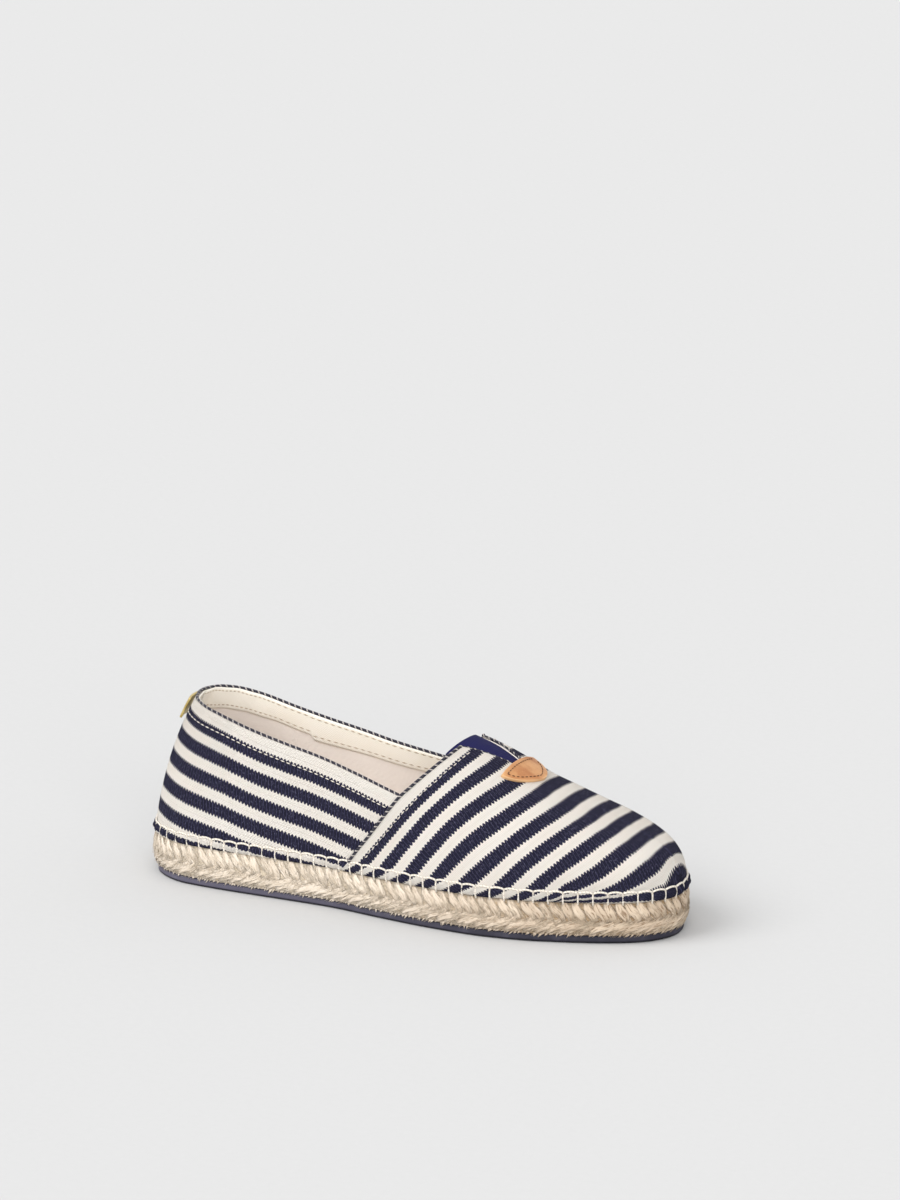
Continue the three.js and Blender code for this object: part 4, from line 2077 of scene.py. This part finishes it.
@dataclass
class Throat:
    """The elastic gore in the notch and the leather tab over its point."""

    last: Last
    upper: Upper
    columns: int = 40
    rows: int = 34
    gore_inset: float = 1.5
    gore_margin: float = 2.6
    tab_base: float = 172.5
    tab_tip: float = 185.8
    tab_half: float = 16.0
    tab_fullness: float = 1.6
    tab_roundness: float = 0.62
    tab_thick: float = 1.2

    def build(self) -> None:
        """Makes the gore, the tab and the tab's stitches."""
        self.build_gore()
        self.build_tab()

    def build_gore(self) -> None:
        """Makes the elastic: its free edge is drawn up in an arch between the notch's corners."""
        piece = Piece("elastic_gore_cloth", self.last)
        notch = self.upper.notch
        tip = notch.tip + 3

        def place(column: int, row: int) -> tuple[Point, Mark]:
            """A point of the elastic, from its free edge to the notch's point.

            Args:
                column: the station along the piece.
                row: the station across it.

            Returns:
                The point and its place on the cloth.
            """
            side = 1 - 2 * column / self.columns
            t = row / self.rows
            edge = notch.mouth - 3.0 + 4.0 * (1 - side * side)
            x = edge + (tip - edge) * t
            low, high = notch.bounds(self.last, min(x, notch.tip - 1))
            half = (high - low) / 2 + self.gore_margin
            px, py, pz = self.last.over(x, (low + high) / 2 + side * half, self.gore_inset)
            bulge = 1.3 * (1 - side * side) * (1 - t) ** 1.5
            return ((px, py, pz + bulge), (side * half, x))

        piece.sheet(self.columns, self.rows, place)
        piece.finish(Elastic("gore_elastic"), "elastic", ["elastic_gore"], thick=0.9)

    def tab_point(self, side: float, t: float, inset: float) -> Point:
        """A point over the tab's outline: side from -1 to 1, and t from its base to its tip.

        Args:
            side: the place across the tab.
            t: the place along it.
            inset: depth under the last's surface.

        Returns:
            The point.
        """
        half = self.tab_half * max(1 - t**self.tab_fullness, 0.0) ** self.tab_roundness
        x = self.tab_base + (self.tab_tip - self.tab_base) * t
        return self.last.over(x, self.last.middle(self.tab_tip) + side * half, inset)

    def build_tab(self) -> None:
        """Makes the leather piece, straight behind and bowed to a blunt tip, and its stitches."""
        columns, rows = 32, 26
        piece = Piece("leather_tab_piece", self.last)
        inset = -self.upper.proud - self.tab_thick - 0.15

        def place(column: int, row: int) -> tuple[Point, Mark]:
            """A point of the tab's upper face.

            Args:
                column: the station along the piece.
                row: the station across it.

            Returns:
                The point and its place on the cloth.
            """
            side, t = 1 - 2 * column / columns, math.sin(math.pi / 2 * row / rows)
            rim = max(abs(side), 1 - t * 14, t, 0.0)
            return (self.tab_point(side, t, inset), (side * self.tab_half, rim))

        piece.sheet(columns, rows, place)
        piece.finish(Leather("tan_leather"), "tab_leather", ["leather_tab"], thick=self.tab_thick, bevel=0.25)
        stitches = Piece("tab_stitches", self.last)
        lines = [[self.tab_point(-0.84 + 1.68 * i / 40, 0.13, inset - 0.15) for i in range(41)]]
        arc = [math.pi * i / 60 for i in range(61)]
        lines.append([self.tab_point(-math.cos(a) * 0.86, 0.13 + 0.72 * math.sin(a) ** 0.7, inset - 0.15)
                      for a in arc])
        for line in lines:
            self.upper.stitch_row(stitches, line, length=1.3, gap=0.8, radius=0.26)
        stitches.finish(TAB_THREAD, "tab_leather", solid=True)


@dataclass
class HeelTag:
    """The small plain brass plate over the back seam."""

    last: Last
    half: float = 9.0
    bottom: float = 69.0
    top: float = 78.4
    thick: float = 1.1

    def build(self) -> None:
        """Makes a plate curved round the heel, with rounded edges."""
        columns, rows = 24, 10
        piece = Piece("heel_tag_plate", self.last)
        inset = -0.3 - self.thick

        def place(column: int, row: int) -> tuple[Point, Mark]:
            """A point of the plate's outer face.

            Args:
                column: the station along the piece.
                row: the station across it.

            Returns:
                The point and its place on the cloth.
            """
            y = self.half * (2 * column / columns - 1)
            z = self.bottom + (self.top - self.bottom) * row / rows
            low, high = -0.9, 0.9
            for _ in range(HALVINGS):
                turn = (low + high) / 2
                rib = self.last.rib(turn, inset)
                p = rib.at(rib.rise_at_height(z))
                low, high = (turn, high) if -p[1] < -y else (low, turn)
            return (p, (y, z))

        piece.sheet(columns, rows, place)
        piece.finish(Brass("tag_brass"), "tag_metal", ["heel_tag"], thick=self.thick, bevel=0.3)


@dataclass
class Insole:
    """The cloth-covered insole, dished under the heel and the ball of the foot."""

    last: Last
    step: float = 3.0
    grow: float = -1.7

    def build(self) -> None:
        """Makes the insole's rounded edge and its top."""
        piece = Piece("insole_cover", self.last)
        inset = self.last.HEM_GROW - self.grow
        turns = self.last.paired(self.last.HEEL_CORE_X, self.step, inset, heel_too=True)
        top = self.last.insole_top
        bottom = self.last.hem + 0.05
        shares = [0.0, 0.0, 0.004, 0.015, 0.04] + [0.1 + 0.9 * i / 14 for i in range(15)]
        heights = [bottom, top - 0.9, top - 0.35, top - 0.08, top]

        def place(column: int, row: int) -> tuple[Point, Mark]:
            """A point of the insole, from its edge in to the middle line.

            Args:
                column: the station along the piece.
                row: the station across it.

            Returns:
                The point and its place on the cloth.
            """
            rib = self.last.rib(turns[column], inset)
            share = shares[row]
            x, y = (a + (b - a) * share for a, b in zip(rib.foot, rib.top))
            z = heights[row] if row < len(heights) else top
            dish = 0.45 * math.exp(-((x - 38) / 22) ** 2 - ((y - 0) / 18) ** 2)
            dish += 0.4 * math.exp(-((x - 170) / 24) ** 2 - ((y - 2) / 26) ** 2)
            return ((x, y, z - dish), (x, y))

        piece.sheet(len(turns) - 1, len(shares) - 1, place)
        piece.close()
        bmesh.ops.holes_fill(piece.bm, edges=piece.bm.edges, sides=0)
        piece.finish(SOCK, "insole_cloth", ["insole"], solid=True)


# ---- studio ----------------------------------------------------------------------------------------


@dataclass
class Studio:
    """Floor, soft light and camera."""

    azimuth: float = 26.5
    elevation: float = 17.0
    distance: float = 3.0
    lens: float = 205.7
    look_from: Point = (0.0, 0.0, 0.020)
    aim_up: float = 0.110
    aim_right: float = 0.0138
    floor: float = 16.0

    def build(self) -> None:
        """Makes the floor, the camera and the lamps."""
        scene = bpy.context.scene
        scene.view_settings.view_transform = "Standard"
        self.build_floor()
        self.build_camera(scene)
        self.build_light(scene)

    def build_floor(self) -> None:
        """Lays the pale sheet that the shoe stands on."""
        bm = bmesh.new()
        bmesh.ops.create_grid(bm, x_segments=2, y_segments=2, size=self.floor / 2)
        mesh = bpy.data.meshes.new("floor")
        bm.to_mesh(mesh)
        bm.free()
        floor = bpy.data.objects.new("floor", mesh)
        floor.location.z = -0.0002
        bpy.context.scene.collection.objects.link(floor)
        mesh.materials.append(Paper("studio_paper").material())

    def build_camera(self, scene: bpy.types.Scene) -> None:
        """Sets the camera on its line to the shoe and aims it a little over the shoe.

        Args:
            scene: the scene it films.
        """
        a, e = math.radians(self.azimuth), math.radians(self.elevation)
        back = Vector((math.sin(a) * math.cos(e), -math.cos(a) * math.cos(e), math.sin(e)))
        right = Vector((math.cos(a), math.sin(a), 0.0))
        up = back.cross(right)
        middle = Vector(self.look_from)
        target = middle + up * self.aim_up + right * self.aim_right
        data = bpy.data.cameras.new("camera")
        data.lens = self.lens
        data.sensor_width = 36.0
        camera = bpy.data.objects.new("camera", data)
        camera.location = middle + back * self.distance
        camera.rotation_mode = "QUATERNION"
        camera.rotation_quaternion = (target - camera.location).to_track_quat("-Z", "Y")
        scene.collection.objects.link(camera)
        scene.camera = camera

    def build_light(self, scene: bpy.types.Scene) -> None:
        """Hangs a large lamp at the upper left, a weaker one in front, and an even sky.

        Args:
            scene: the scene it lights.
        """
        world = bpy.data.worlds.new("studio")
        world.use_nodes = True
        sky = world.node_tree.nodes["Background"]
        sky.inputs["Color"].default_value = (1.0, 1.0, 1.0, 1.0)
        sky.inputs["Strength"].default_value = 0.84
        scene.world = world
        self.lamp("key_light", (-1.3, -1.3, 1.9), width=38.0, power=1.5)
        self.lamp("front_light", (1.3, -2.4, 1.0), width=50.0, power=1.75)

    def lamp(self, name: str, place: Point, width: float, power: float) -> None:
        """Hangs a far, wide lamp that shines on the shoe.

        Args:
            name: the lamp's name.
            place: the side that it shines from, in metres.
            width: how wide it looks from the shoe, in degrees.
            power: its light, in watts on each square metre.
        """
        data = bpy.data.lights.new(name, "SUN")
        data.angle = math.radians(width)
        data.energy = power
        made = bpy.data.objects.new(name, data)
        made.location = place
        made.rotation_mode = "QUATERNION"
        made.rotation_quaternion = (Vector(self.look_from) - Vector(place)).to_track_quat("-Z", "Y")
        bpy.context.scene.collection.objects.link(made)


def main() -> None:
    """Builds the shoe from the ground up, then the studio."""
    logging.basicConfig(level=logging.INFO, format="%(name)s %(message)s")
    last = Last()
    upper = Upper(last)
    for part in (Outsole(last), JuteSole(last), Insole(last), upper, Throat(last, upper), HeelTag(last)):
        part.build()
    Studio().build()


if __name__ == "__main__":
    main()
